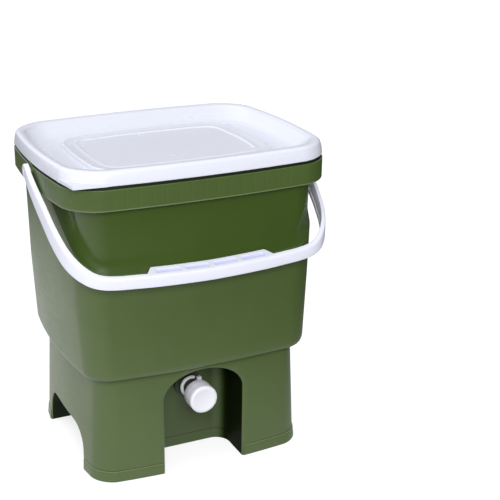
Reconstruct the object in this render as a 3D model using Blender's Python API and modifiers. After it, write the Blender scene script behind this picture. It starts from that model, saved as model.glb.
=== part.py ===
"""Bokashi bin: tub in a separate stand, tray lid, swinging bail handle and a drain tap.

Metres, +Z up, the front with the tap faces -Y. Each node is one closed body.
"""
import math

import bmesh
import bpy
from mathutils import Matrix, Vector

# General fits and cuts
half = 0.5
seat_gap = 0.0003
wall = 0.0026
stand_wall = 0.0025
overcut = 0.0060
merge_distance = 0.00001

# Facet counts
corner_steps = 8
side_steps = 6
edge_steps = 4
knob_edge_steps = 3
eye_steps = 28
turn_steps = 40

# Plan outline that every shell shares
bow_front = 0.0085
bow_side = 0.0101

# Tub shell above the stand, from the stand's top upwards
stand_height = 0.1300
ledge_height = stand_height + seat_gap
edge_round_height = 0.0090
edge_round_inset = 0.0042
tub_mid_rise = 0.0897
tub_side_height = 0.2007
tub_mid_height = ledge_height + tub_mid_rise
tub_width_top = 0.2985
tub_depth_top = 0.2500
side_taper_high = 0.0010
side_taper_low = 0.00485
front_taper_high = 0.0054
front_taper_low = -0.0004
tub_width_mid = tub_width_top - 2 * side_taper_high
tub_depth_mid = tub_depth_top - 2 * front_taper_high
tub_width_low = tub_width_mid - 2 * side_taper_low
tub_depth_low = tub_depth_mid - 2 * front_taper_low
tub_radius_low = 0.0270
tub_radius_top = 0.0330
floor_thickness = 0.0027

# Collar round the mouth
collar_height = 0.0267
collar_bottom = ledge_height + tub_side_height
collar_top = collar_bottom + collar_height
collar_overhang_side = 0.01075
collar_overhang_front = 0.00375
collar_width = tub_width_top + 2 * collar_overhang_side
collar_depth = tub_depth_top + 2 * collar_overhang_front
collar_radius = 0.0370
collar_wall = 0.0024
collar_web = 0.0035
collar_step = 0.0009
collar_step_height = 0.0030
lip_inset_side = 0.0063
lip_inset_front = 0.00355
lip_width = collar_width - 2 * lip_inset_side
lip_depth = collar_depth - 2 * lip_inset_front
lip_thickness = 0.0024
lip_radius = 0.0370
lip_height = 0.0054

# Handle pocket: the shell is set back above a plane that slopes down to the front
pocket_depth = 0.0035
pocket_hinge_rise = 0.0140
pocket_hinge_height = collar_bottom + pocket_hinge_rise
pocket_rise = 0.58
pocket_reach = collar_width * half + overcut

# Stand, from the tub's ledge outwards and down to its foot
ledge_overhang_side = 0.0123
ledge_overhang_front = 0.0089
stand_width_top = tub_width_low - 2 * ledge_overhang_side
stand_depth_top = tub_depth_low - 2 * ledge_overhang_front
stand_flare_side = 0.0056
stand_flare_front = 0.0012
stand_width_low = stand_width_top + 2 * stand_flare_side
stand_depth_low = stand_depth_top + 2 * stand_flare_front
band_stand_out = 0.0008
stand_width_band = stand_width_low + 2 * band_stand_out
stand_depth_band = stand_depth_low + 2 * band_stand_out
foot_flare = 0.0009
stand_width_foot = stand_width_band + 2 * foot_flare
stand_depth_foot = stand_depth_band + 2 * foot_flare
stand_radius = 0.0240
band_height = 0.0132
band_step_height = 0.0008
stand_floor = 0.0025

# Lower tub that stands inside the stand
well_drop = 0.0683
well_floor_height = ledge_height - well_drop
well_gap_side = 0.0012
well_gap_front = 0.0010
well_width_top = stand_width_top - 2 * (stand_wall + well_gap_side)
well_depth_top = stand_depth_top - 2 * (stand_wall + well_gap_front)
well_taper = 0.0045
well_width_foot = well_width_top - 2 * well_taper
well_depth_foot = well_depth_top - 2 * well_taper
well_radius = 0.0210
well_overlap = 0.0012

# Tap niche in the stand
niche_half_width = 0.0495
niche_arch_rise = 0.0320
niche_top_band = 0.0060
niche_spring_height = stand_height - niche_top_band - niche_arch_rise
niche_depth = 0.0531
niche_back_y = stand_depth_top * half - niche_depth
niche_back_radius = 0.0140
niche_front_reach = stand_depth_foot * half + overcut
niche_gap = 0.0006

# Side arches in the stand
arch_half_length = 0.0625
arch_spread = 0.0030
arch_height = 0.0495
arch_radius = 0.0290
arch_run = 0.0524
arch_depth_x = stand_width_foot * half - arch_run
arch_reach_x = stand_width_foot * half + overcut

# Lid
lid_gap = 0.0006
lid_bottom = collar_top + lid_gap
lid_overhang_front = 0.00025
lid_width = collar_width
lid_depth = collar_depth + 2 * lid_overhang_front
lid_radius = 0.0395
lid_height = 0.0155
lid_slope_width = 0.0270
lid_slope_depth = 0.0445
lid_radius_drop = 0.0150
lid_thickness = 0.0022
bead_inset_side = 0.0560
bead_inset_front = 0.0580
bead_width = lid_width - 2 * bead_inset_side
bead_depth = lid_depth - 2 * bead_inset_front
bead_radius = 0.0210
bead_rise = 0.0021
bead_band = 0.0090
bead_bow = 0.0050
panel_drop = 0.0003
tab_thickness = 0.0036
tab_radius = 0.0020
tab_band = 0.0012

# Lid seal
seal_height = 0.0052
seal_bottom = collar_top + lip_height + seat_gap
seal_overhang_side = 0.0016
seal_inset_front = 0.0005
seal_width = lip_width + 2 * seal_overhang_side
seal_depth = lip_depth - 2 * seal_inset_front
seal_band = 0.0036
seal_radius = 0.0380

# Bail handle
pivot_below_collar_top = 0.0092
pivot_height = collar_top - pivot_below_collar_top
pin_radius = 0.0042
pin_clearance = 0.0005
pin_catch = 0.0061
pin_inner_x = collar_width * half - collar_wall - pin_catch
eye_radius = 0.0086
bail_drop = 0.0981
eye_face_low = 0.0058
eye_face_high = 0.0078
arm_face_low = 0.0081
arm_face_high = 0.0100
bar_face_low = 0.0070
bar_face_high = 0.0059
bail_wall = 0.0017
bail_edge = 0.0010
bail_round = 0.0005
bail_flange = 0.0053
bail_shoulder = 0.0017
bail_step = 0.0007
bail_step_below = 0.0020
bail_side_gap = 0.0022
bail_half_width = collar_width * half + bail_side_gap + bail_flange
grip_flange = 0.0150
grip_rise = 0.0035
grip_wall = 0.0032
grip_lip = 0.0060
grip_slot_length = 0.0285
grip_slot_width = 0.0048
grip_slot_pitch = 0.0335
grip_slot_inset = 0.0080
grip_slot_depth = 0.0014
grip_slot_count = 4

# The bar lies just in front of the tub at the height of its grip's upper edge
bail_rest_gap = 0.00071
grip_top = pivot_height - bail_drop + bar_face_high + bail_shoulder + grip_rise
taper_share = max(grip_top - tub_mid_height, 0) / (collar_bottom - tub_mid_height)
tub_front_at_grip = tub_depth_mid * half + front_taper_high * taper_share
bail_reach = tub_front_at_grip + bail_rest_gap + grip_flange

# Strainer plate
grate_thickness = 0.0030
grate_gap = 0.0025
grate_rim_height = 0.0060
grate_rim_width = 0.0030
grate_hole_radius = 0.0032
grate_hole_pitch = 0.0215
grate_columns = 11
grate_rows = 9
grate_grip_radius = 0.0110
grate_grip_height = 0.0120

# Tap, with its places in front of the niche's back wall
tap_rise = 0.0226
tap_height = well_floor_height + tap_rise
tap_hole_radius = 0.0086
shank_radius = 0.0080
shank_length = 0.0175
shank_end_y = niche_back_y - shank_length
bore_radius = 0.0056
flange_radius = 0.0165
flange_thickness = 0.0030
barrel_radius = 0.0086
barrel_reach = 0.0282
barrel_front_y = niche_back_y + barrel_reach
washer_radius = 0.0150
washer_thickness = 0.0020
inner_washer_radius = 0.0140
nut_radius = 0.0150
nut_thickness = 0.0070
nut_sides = 6
spout_reach = 0.0230
spout_y = niche_back_y + spout_reach
spout_radius = 0.0050
spout_bore = 0.0036
spout_drop = 0.0240
ring_back_reach = 0.0127
ring_y = niche_back_y + ring_back_reach
ring_thickness = 0.0036
ring_wall = 0.0044
ring_radius = barrel_radius + seat_gap + ring_wall
ring_slit = 0.0012
ring_slit_degrees = 51
ring_edge = 0.0012
gland_thickness = 0.0016
gland_radius = 0.0082
stem_radius = 0.0052
stem_reach = 0.0040
stem_back_y = niche_back_y + stem_reach
stem_bore = 0.0032
stem_bore_length = spout_reach - stem_reach + 2 * stem_bore
knob_gap = 0.0005
knob_length = 0.0224
knob_back_y = barrel_front_y + seat_gap + gland_thickness + knob_gap
knob_front_y = knob_back_y + knob_length
knob_radius = 0.0170
knob_front_edge = 0.0012
knob_back_edge = 0.0060
knob_edge_shares = (0.7, 0.3)

# Materials: colour in linear light, and roughness
green = ("matte_plastic_green", (0.098, 0.150, 0.062), 0.45)
stand_green = ("matte_plastic_stand", (0.098, 0.150, 0.062), 0.45)
lid_white = ("gloss_plastic_lid", (0.76, 0.77, 0.86), 0.32)
bail_white = ("gloss_plastic_handle", (0.80, 0.80, 0.88), 0.30)
tap_green = ("matte_plastic_tap", (0.030, 0.045, 0.022), 0.50)
knob_white = ("gloss_plastic_tap", (0.82, 0.81, 0.88), 0.35)
grate_green = ("matte_plastic_grate", (0.10, 0.13, 0.08), 0.50)
black_rubber = ("rubber", (0.03, 0.03, 0.03), 0.80)

# Everything is built round the tub's own middle, then moved to the middle of its box
frame_shift_y = (bail_reach - lid_depth * half) * half

parts = None
cutters = None


def fresh_scene():
    """Empty the scene and make the collections for the parts and the cutters."""
    global parts, cutters
    for obj in list(bpy.data.objects):
        bpy.data.objects.remove(obj, do_unlink=True)
    parts = bpy.data.collections.new("bokashi_bin")
    cutters = bpy.data.collections.new("cutters")
    bpy.context.scene.collection.children.link(parts)
    bpy.context.scene.collection.children.link(cutters)


def dress(obj, name, colour, roughness):
    """Give an object its own Principled material, shared by the pieces of the same plastic."""
    if name in bpy.data.materials:
        obj.data.materials.append(bpy.data.materials[name])
        return
    mat = bpy.data.materials.new(name)
    mat.use_nodes = True
    shader = mat.node_tree.nodes["Principled BSDF"]
    shader.inputs["Base Color"].default_value = (*colour, 1.0)
    shader.inputs["Roughness"].default_value = roughness
    mat.diffuse_color = (*colour, 1.0)
    obj.data.materials.append(mat)


def finish(bm, name, home):
    """Turn a bmesh into an object with outward faces in the given collection."""
    bmesh.ops.recalc_face_normals(bm, faces=bm.faces)
    mesh = bpy.data.meshes.new(name)
    bm.to_mesh(mesh)
    bm.free()
    obj = bpy.data.objects.new(name, mesh)
    home.objects.link(obj)
    if home == cutters:
        obj.hide_render = True
        obj.display_type = "WIRE"
    return obj


def outline(width, depth, radius, side_bow=bow_side, front_bow=bow_front):
    """Rounded rectangle with bowed sides, counter-clockwise, always the same point count."""
    half_w = width * half
    half_d = depth * half
    centres = (
        (half_w - radius, radius - half_d, -90),
        (half_w - radius, half_d - radius, 0),
        (radius - half_w, half_d - radius, 90),
        (radius - half_w, radius - half_d, 180),
    )
    corners = []
    for cx, cy, start in centres:
        arc = []
        for i in range(corner_steps + 1):
            turn = math.radians(start + 90 * i / corner_steps)
            arc.append((cx + radius * math.cos(turn), cy + radius * math.sin(turn)))
        corners.append(arc)
    points = []
    for i, arc in enumerate(corners):
        points += arc
        ahead = corners[(i + 1) % 4][0]
        for k in range(1, side_steps):
            t = k / side_steps
            points.append((arc[-1][0] * (1 - t) + ahead[0] * t, arc[-1][1] * (1 - t) + ahead[1] * t))
    bowed = []
    for x, y in points:
        bx = x - side_bow * (x / half_w) * (y / half_d) ** 2
        by = y - front_bow * (y / half_d) * (x / half_w) ** 2
        bowed.append((bx, by))
    return bowed


def ring(width, depth, radius, height, side_bow=bow_side, front_bow=bow_front):
    """The plan outline at one height."""
    return [Vector((x, y, height)) for x, y in outline(width, depth, radius, side_bow, front_bow)]


def loft(name, rings, home, closed=False):
    """Skin between rings of like count, capped at both ends unless it closes on itself."""
    bm = bmesh.new()
    loops = [[bm.verts.new(p) for p in r] for r in rings]
    count = len(loops[0])
    pairs = list(zip(loops[:-1], loops[1:]))
    if closed:
        pairs.append((loops[-1], loops[0]))
    for low, high in pairs:
        for i in range(count):
            j = (i + 1) % count
            bm.faces.new((low[i], low[j], high[j], high[i]))
    if not closed:
        bm.faces.new(list(reversed(loops[0])))
        bm.faces.new(loops[-1])
    return finish(bm, name, home)


def prism(name, points, direction, home):
    """Flat outline of 3-D points pushed along a direction."""
    bm = bmesh.new()
    face = bm.faces.new([bm.verts.new(p) for p in points])
    pushed = bmesh.ops.extrude_face_region(bm, geom=[face])
    moved = [v for v in pushed["geom"] if isinstance(v, bmesh.types.BMVert)]
    bmesh.ops.translate(bm, verts=moved, vec=direction)
    return finish(bm, name, home)


def rod(name, radius, start, end, steps, home):
    """Cylinder between two points."""
    start = Vector(start)
    end = Vector(end)
    along = end - start
    bm = bmesh.new()
    turn = along.to_track_quat("Z", "Y").to_matrix().to_4x4()
    bmesh.ops.create_cone(bm, cap_ends=True, segments=steps, radius1=radius, radius2=radius,
                          depth=along.length, matrix=Matrix.Translation((start + end) * half) @ turn)
    return finish(bm, name, home)


def box(name, low, high, home):
    """Box between two corners."""
    low = Vector(low)
    high = Vector(high)
    size = high - low
    bm = bmesh.new()
    bmesh.ops.create_cube(bm, size=1.0, matrix=Matrix.Translation((low + high) * half)
                          @ Matrix.Diagonal((*size, 1.0)))
    return finish(bm, name, home)


def turned(name, profile, home, loop=False):
    """Turned shape on the tap's axis: profile rows are (radius, distance in front of the middle)."""
    mesh = bpy.data.meshes.new(name)
    count = len(profile)
    edges = [(i, i + 1) for i in range(count - 1)]
    if loop:
        edges.append((count - 1, 0))
    mesh.from_pydata([(r, 0, y) for r, y in profile], edges, [])
    obj = bpy.data.objects.new(name, mesh)
    home.objects.link(obj)
    if home == cutters:
        obj.hide_render = True
        obj.display_type = "WIRE"
    obj.location = (0, 0, tap_height)
    obj.rotation_euler = (math.pi * half, 0, 0)
    screw = obj.modifiers.new("turn", "SCREW")
    screw.axis = "Z"
    screw.angle = 2 * math.pi
    screw.steps = turn_steps
    screw.render_steps = turn_steps
    screw.use_merge_vertices = True
    screw.merge_threshold = merge_distance
    return obj


def combine(obj, other, operation):
    """Exact Boolean with another object."""
    mod = obj.modifiers.new(operation.lower() + "_" + other.name, "BOOLEAN")
    mod.operation = operation
    mod.object = other
    mod.solver = "EXACT"


def cut(obj, other):
    """Take another object out of this one."""
    combine(obj, other, "DIFFERENCE")


def join(obj, other):
    """Add another object to this one."""
    combine(obj, other, "UNION")


def shell_rings(grow, low, high):
    """Rings of the tub's outer shell, grown or set back evenly, from one height to another."""
    def at(height):
        if height <= tub_mid_height:
            t = (height - ledge_height) / (tub_mid_height - ledge_height)
            w = tub_width_low + (tub_width_mid - tub_width_low) * t
            d = tub_depth_low + (tub_depth_mid - tub_depth_low) * t
        else:
            t = (height - tub_mid_height) / (collar_bottom - tub_mid_height)
            w = tub_width_mid + (tub_width_top - tub_width_mid) * t
            d = tub_depth_mid + (tub_depth_top - tub_depth_mid) * t
        share = (height - ledge_height) / (collar_bottom - ledge_height)
        r = tub_radius_low + (tub_radius_top - tub_radius_low) * share
        return ring(w + 2 * grow, d + 2 * grow, r + grow, height)
    heights = [low]
    if low < tub_mid_height < high:
        heights.append(tub_mid_height)
    heights.append(high)
    return [at(h) for h in heights]


def pocket_prism(name, drop, top):
    """Wedge of space above the pocket plane and below the given height."""
    deep = pocket_hinge_height - pocket_rise * pocket_reach - drop
    nose = (top - pocket_hinge_height + drop) / pocket_rise
    points = [Vector((-pocket_reach, -pocket_reach, deep)), Vector((-pocket_reach, nose, top)),
              Vector((-pocket_reach, -pocket_reach, top))]
    return prism(name, points, Vector((2 * pocket_reach, 0, 0)), cutters)


def niche_cutter(name, grow, low, high):
    """Niche space: arch seen from the front, rounded back corners seen from above."""
    half_w = niche_half_width + grow
    back = grow - niche_back_y
    r = niche_back_radius + grow
    plan = [Vector((-half_w, -niche_front_reach, low)), Vector((half_w, -niche_front_reach, low))]
    for cx, start in ((half_w - r, 0), (r - half_w, 90)):
        for i in range(corner_steps + 1):
            turn = math.radians(start + 90 * i / corner_steps)
            plan.append(Vector((cx + r * math.cos(turn), back - r + r * math.sin(turn), low)))
    body = prism(name, plan, Vector((0, 0, high - low)), cutters)
    arch = [Vector((-half_w, -niche_front_reach, low - overcut)),
            Vector((half_w, -niche_front_reach, low - overcut))]
    steps = 2 * corner_steps
    for i in range(steps + 1):
        turn = math.pi * i / steps
        arch.append(Vector((half_w * math.cos(turn), -niche_front_reach,
                            niche_spring_height + (niche_arch_rise + grow) * math.sin(turn))))
    front = prism(name + "_arch", arch, Vector((0, niche_front_reach, 0)), cutters)
    combine(body, front, "INTERSECT")
    return body


def arch_cutter(name, side, grow, low):
    """Side arch space on one side of the stand."""
    reach = arch_half_length + grow
    foot = reach + arch_spread
    top = arch_height + grow
    r = arch_radius + grow
    start_x = side * (arch_depth_x - grow)
    points = [Vector((start_x, -foot, low)), Vector((start_x, foot, low))]
    for cy, start in ((reach - r, 0), (r - reach, 90)):
        for i in range(corner_steps + 1):
            turn = math.radians(start + 90 * i / corner_steps)
            points.append(Vector((start_x, cy + r * math.cos(turn), top - r + r * math.sin(turn))))
    return prism(name, points, Vector((side * (arch_reach_x - arch_depth_x), 0, 0)), cutters)


def make_bucket():
    """Tub: set-back shell, collar, lip, pocket and the lower well."""
    body_rings = [
        ring(tub_width_low - 2 * edge_round_inset, tub_depth_low - 2 * edge_round_inset,
             tub_radius_low, ledge_height),
    ]
    for i in range(1, edge_steps + 1):
        turn = math.pi * half * i / edge_steps
        inset = edge_round_inset * (1 - math.sin(turn))
        rise = edge_round_height * (1 - math.cos(turn))
        t = rise / (tub_mid_height - ledge_height)
        w = tub_width_low + (tub_width_mid - tub_width_low) * t
        d = tub_depth_low + (tub_depth_mid - tub_depth_low) * t
        body_rings.append(ring(w - 2 * inset, d - 2 * inset, tub_radius_low, ledge_height + rise))
    body_rings += shell_rings(0, ledge_height + edge_round_height, collar_bottom)[1:]
    body_rings.append(ring(tub_width_top, tub_depth_top, tub_radius_top, collar_top - collar_web * half))
    bucket = loft("bucket", body_rings, parts)

    step_w = collar_width - 2 * collar_step
    step_d = collar_depth - 2 * collar_step
    shoulder = collar_top - collar_step_height
    collar = loft("collar", [
        ring(collar_width, collar_depth, collar_radius, collar_bottom),
        ring(collar_width, collar_depth, collar_radius, shoulder),
        ring(step_w, step_d, collar_radius, shoulder + collar_step),
        ring(step_w, step_d, collar_radius, collar_top)], cutters)
    join(bucket, collar)
    lip = loft("lip", [
        ring(lip_width, lip_depth, lip_radius, collar_top - collar_web * half),
        ring(lip_width, lip_depth, lip_radius, collar_top + lip_height)], cutters)
    lip_inner_w = lip_width - 2 * lip_thickness
    lip_inner_d = lip_depth - 2 * lip_thickness
    cut(lip, loft("lip_mouth", [
        ring(lip_inner_w, lip_inner_d, lip_radius - lip_thickness, collar_bottom),
        ring(lip_inner_w, lip_inner_d, lip_radius - lip_thickness, collar_top + lip_height + overcut)],
        cutters))
    join(bucket, lip)

    well = loft("well", [
        ring(well_width_foot, well_depth_foot, well_radius, well_floor_height),
        ring(well_width_top, well_depth_top, well_radius, ledge_height + well_overlap)], cutters)
    gap = stand_wall + niche_gap
    notch_top = ledge_height + 2 * overcut
    notch = box("well_notch", (-niche_half_width - gap, -niche_front_reach, 0),
                (niche_half_width + gap, stand_wall + seat_gap - niche_back_y, notch_top), cutters)
    cut(well, notch)
    join(bucket, well)

    channel = loft("collar_channel", [
        ring(collar_width - 2 * collar_wall, collar_depth - 2 * collar_wall,
             collar_radius - collar_wall, collar_bottom - overcut),
        ring(collar_width - 2 * collar_wall, collar_depth - 2 * collar_wall,
             collar_radius - collar_wall, collar_top - collar_web)], cutters)
    core = loft("channel_core", [
        ring(tub_width_top, tub_depth_top, tub_radius_top, collar_bottom - 2 * overcut),
        ring(tub_width_top, tub_depth_top, tub_radius_top, collar_top + overcut)], cutters)
    cut(channel, core)
    cut(bucket, channel)

    pocket = pocket_prism("pocket", 0, collar_bottom)
    cut(pocket, loft("pocket_core", shell_rings(-pocket_depth, tub_mid_height, collar_top), cutters))
    cut(bucket, pocket)

    floor = ledge_height + floor_thickness
    mouth = collar_top + lip_height + overcut
    narrow = pocket_depth + wall
    cavity = shell_rings(-narrow, floor, collar_bottom)
    cavity.append(ring(tub_width_top - 2 * narrow, tub_depth_top - 2 * narrow,
                       tub_radius_top - narrow, mouth))
    cut(bucket, loft("cavity", cavity, cutters))
    wide_rings = shell_rings(-wall, floor, collar_bottom)
    wide_rings.append(ring(tub_width_top - 2 * wall, tub_depth_top - 2 * wall,
                           tub_radius_top - wall, mouth))
    wide = loft("cavity_wide", wide_rings, cutters)
    drop = wall * math.hypot(1, pocket_rise)
    cut(wide, pocket_prism("cavity_pocket", drop, collar_bottom + wall))
    cut(bucket, wide)
    well_cavity = loft("well_cavity", [
        ring(well_width_foot - 2 * wall, well_depth_foot - 2 * wall, well_radius - wall,
             well_floor_height + wall),
        ring(well_width_top - 2 * wall, well_depth_top - 2 * wall, well_radius - wall,
             floor + overcut)], cutters)
    notch_grown = box("well_notch_grown", (-niche_half_width - gap - wall, -niche_front_reach, 0),
                      (niche_half_width + gap + wall, stand_wall + seat_gap + wall - niche_back_y,
                       notch_top), cutters)
    cut(well_cavity, notch_grown)
    cut(bucket, well_cavity)

    cut(bucket, rod("tap_hole_tub", tap_hole_radius, (0, -niche_back_y, tap_height),
                    (0, -shank_end_y, tap_height), turn_steps, cutters))
    hole = pin_radius + pin_clearance
    for side in (-1, 1):
        cut(bucket, rod("pin_hole", hole, (side * pin_inner_x, 0, pivot_height),
                        (side * bail_half_width, 0, pivot_height), eye_steps, cutters))
    return bucket


def stand_rings(grow, low, high):
    """Rings of the stand's outside with its foot band, or of its inside."""
    rows = [
        (low, stand_width_foot, stand_depth_foot),
        (band_height, stand_width_band, stand_depth_band),
        (band_height + band_step_height, stand_width_low, stand_depth_low),
        (high, stand_width_top, stand_depth_top),
    ]
    return [ring(w + 2 * grow, d + 2 * grow, stand_radius + grow, z) for z, w, d in rows]


def make_stand():
    """Stand: flared shell with a tap niche, two side arches and a foot band."""
    stand = loft("base_stand", stand_rings(0, 0, stand_height), parts)
    cut(stand, niche_cutter("niche", 0, -overcut, stand_height - seat_gap))
    for side in (-1, 1):
        cut(stand, arch_cutter("arch", side, 0, -overcut))
    hollow = loft("stand_hollow", [
        ring(stand_width_foot - 2 * stand_wall, stand_depth_foot - 2 * stand_wall,
             stand_radius - stand_wall, stand_floor),
        ring(stand_width_low - 2 * stand_wall, stand_depth_low - 2 * stand_wall,
             stand_radius - stand_wall, band_height + band_step_height),
        ring(stand_width_top - 2 * stand_wall, stand_depth_top - 2 * stand_wall,
             stand_radius - stand_wall, stand_height),
        ring(stand_width_top - 2 * stand_wall, stand_depth_top - 2 * stand_wall,
             stand_radius - stand_wall, stand_height + overcut)], cutters)
    cut(hollow, niche_cutter("niche_lining", stand_wall, -2 * overcut, stand_height + 2 * overcut))
    for side in (-1, 1):
        cut(hollow, arch_cutter("arch_lining", side, stand_wall, -2 * overcut))
    cut(stand, hollow)
    cut(stand, rod("tap_hole_stand", tap_hole_radius, (0, -niche_back_y - overcut, tap_height),
                   (0, stand_wall + overcut - niche_back_y, tap_height), turn_steps, cutters))
    return stand


# Lid section: inset towards the middle, in shares of the sloping rim, and height in shares of the lid
lid_top_shares = (
    (0.000, 0.000, 0.000),
    (0.052, 0.031, 0.720),
    (0.096, 0.058, 0.905),
    (0.170, 0.108, 1.000),
    (0.315, 0.225, 0.987),
    (0.407, 0.326, 0.890),
    (0.519, 0.472, 0.545),
    (0.704, 0.719, 0.095),
    (0.889, 0.921, -0.100),
    (1.000, 1.000, -0.135),
)
lid_under_shares = (
    (1.060, 1.040, -0.290),
    (0.859, 0.903, -0.240),
    (0.644, 0.683, -0.030),
    (0.444, 0.422, 0.475),
    (0.341, 0.303, 0.735),
    (0.193, 0.146, 0.845),
    (0.141, 0.085, 0.660),
    (0.089, 0.054, 0.000),
)
# Raised bead on the lid: how far across its band, and how much of its rise
bead_shares = ((0.00, 0.00), (0.16, 0.62), (0.50, 1.00), (0.84, 0.62))


def lid_ring(row):
    """One ring of the lid's section."""
    in_w, in_d, up = row
    w = lid_width - 2 * in_w * lid_slope_width
    d = lid_depth - 2 * in_d * lid_slope_depth
    return ring(w, d, lid_radius - lid_radius_drop * in_w, lid_bottom + up * lid_height)


def front_left_corner(inset, radius):
    """The lid's front left corner at its lower edge, set in evenly."""
    points = ring(lid_width - 2 * inset, lid_depth - 2 * inset, radius, lid_bottom)
    return points[3 * (corner_steps + side_steps):][:corner_steps + 1]


def make_lid():
    """Tray lid: skirt, rounded rim, soft slope, floor with a raised bead, and a corner pull tab."""
    floor = lid_bottom + lid_top_shares[-1][2] * lid_height
    rings = [lid_ring(row) for row in lid_top_shares]
    for across, up in bead_shares:
        inset = bead_band * across
        rings.append(ring(bead_width - 2 * inset, bead_depth - 2 * inset, bead_radius - inset,
                          floor + bead_rise * up, bead_bow, bead_bow))
    rings.append(ring(bead_width - 2 * bead_band, bead_depth - 2 * bead_band,
                      bead_radius - bead_band, floor - panel_drop, bead_bow, bead_bow))
    under = floor - panel_drop - lid_thickness
    rings.append(ring(bead_width - 2 * bead_band, bead_depth - 2 * bead_band,
                      bead_radius - bead_band, under, bead_bow, bead_bow))
    rings += [lid_ring(row) for row in lid_under_shares]
    bm = bmesh.new()
    loops = [[bm.verts.new(p) for p in r] for r in rings]
    count = len(loops[0])
    split = len(lid_top_shares) + len(bead_shares)
    for k, low in enumerate(loops):
        high = loops[(k + 1) % len(loops)]
        if k == split:
            continue
        for i in range(count):
            j = (i + 1) % count
            bm.faces.new((low[i], low[j], high[j], high[i]))
    bm.faces.new(loops[split])
    bm.faces.new(list(reversed(loops[split + 1])))
    lid = finish(bm, "lid", parts)

    skirt = front_left_corner(0, lid_radius)
    lap = front_left_corner(tab_band, lid_radius - tab_band)
    square = front_left_corner(0, tab_radius)
    join(lid, prism("pull_tab", [skirt[0]] + square + [skirt[-1]] + lap[::-1],
                    Vector((0, 0, tab_thickness)), cutters))
    return lid


def make_seal():
    """Rubber ring in the lid's groove, just over the tub's lip."""
    inner_w = seal_width - 2 * seal_band
    inner_d = seal_depth - 2 * seal_band
    top = seal_bottom + seal_height
    return loft("lid_seal", [
        ring(seal_width, seal_depth, seal_radius, seal_bottom),
        ring(seal_width, seal_depth, seal_radius, top),
        ring(inner_w, inner_d, seal_radius - seal_band, top),
        ring(inner_w, inner_d, seal_radius - seal_band, seal_bottom)], parts, closed=True)


# Bail outline from the pivot to the middle of the bar: shares of the reach and of the half width
bail_plan_shares = (
    (0.000, 1.000), (0.090, 1.003), (0.220, 0.997), (0.360, 0.986), (0.520, 0.973),
    (0.640, 0.956), (0.728, 0.935), (0.800, 0.904), (0.866, 0.859), (0.917, 0.803),
    (0.950, 0.728), (0.967, 0.627), (0.976, 0.520), (0.984, 0.450), (0.986, 0.409),
    (0.990, 0.330), (0.996, 0.180), (1.000, 0.000),
)
# Shape of the section at each of these stations: -1 at the eye, 0 on the arm, 1 on the bar, 2 on the grip
bail_shapes = (-1.0, -0.9, -0.5, -0.1, 0.0, 0.1, 0.3, 0.5, 0.7, 0.85, 0.95, 1.0, 1.0, 1.0, 2.0, 2.0, 2.0, 2.0)


def bail_faces(shape):
    """How far the outer face reaches below and above the bail's plane."""
    on_eye = max(-shape, 0)
    on_bar = min(max(shape, 0), 1)
    on_arm = 1 - on_eye - on_bar
    low = on_eye * eye_face_low + on_arm * arm_face_low + on_bar * bar_face_low
    high = on_eye * eye_face_high + on_arm * arm_face_high + on_bar * bar_face_high
    return low, high


def bail_section(shape):
    """Open channel: distance inwards from the outer face and height over the bail's plane."""
    low, high = bail_faces(shape)
    grip = max(shape - 1, 0)
    width = bail_flange + (grip_flange - bail_flange) * grip
    ridge = high + bail_shoulder + grip_rise * grip
    fold = (ridge - grip_lip * half) * grip - bail_step_below * (1 - grip)
    foot = (ridge - grip_lip) * grip - low * (1 - grip)
    roof = ridge - bail_wall - (grip_wall - bail_wall) * grip
    back = width + bail_step * (1 - 2 * grip)
    return [
        (0, -low), (0, high - bail_edge), (bail_edge, high),
        (bail_flange - bail_edge, high + bail_shoulder), (width, ridge - bail_round), (width, fold),
        (back, fold - bail_step), (back, foot), (back - bail_wall, foot), (back - bail_wall, roof),
        (bail_wall, high - bail_wall), (bail_wall, -low),
    ]


def bail_bar_point(x):
    """Where the bail's plane carries the bar's outer face at one place across."""
    for (near, wide), (far, narrow) in zip(bail_plan_shares[:-1], bail_plan_shares[1:]):
        if narrow <= abs(x) / bail_half_width <= wide:
            t = (wide - abs(x) / bail_half_width) / (wide - narrow)
            reach = near + (far - near) * t
    return Vector((x, -reach * bail_reach, pivot_height - reach * bail_drop))


def grip_slot(k):
    """Cutter for one shallow slot in the grip's sloping top."""
    middle = (k - (grip_slot_count - 1) * half) * grip_slot_pitch
    start = bail_bar_point(middle - grip_slot_length * half)
    end = bail_bar_point(middle + grip_slot_length * half)
    slope = grip_rise / (grip_flange - bail_flange + bail_edge)
    corners = []
    for side, over in ((-1, -grip_slot_depth), (1, -grip_slot_depth), (1, overcut), (-1, overcut)):
        n = grip_slot_inset + side * grip_slot_width * half
        top = bar_face_high + bail_shoulder + slope * (n - bail_flange + bail_edge)
        corners.append(start + Vector((0, n, top + over)))
    return prism("grip_slot", corners, end - start, cutters)


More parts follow.
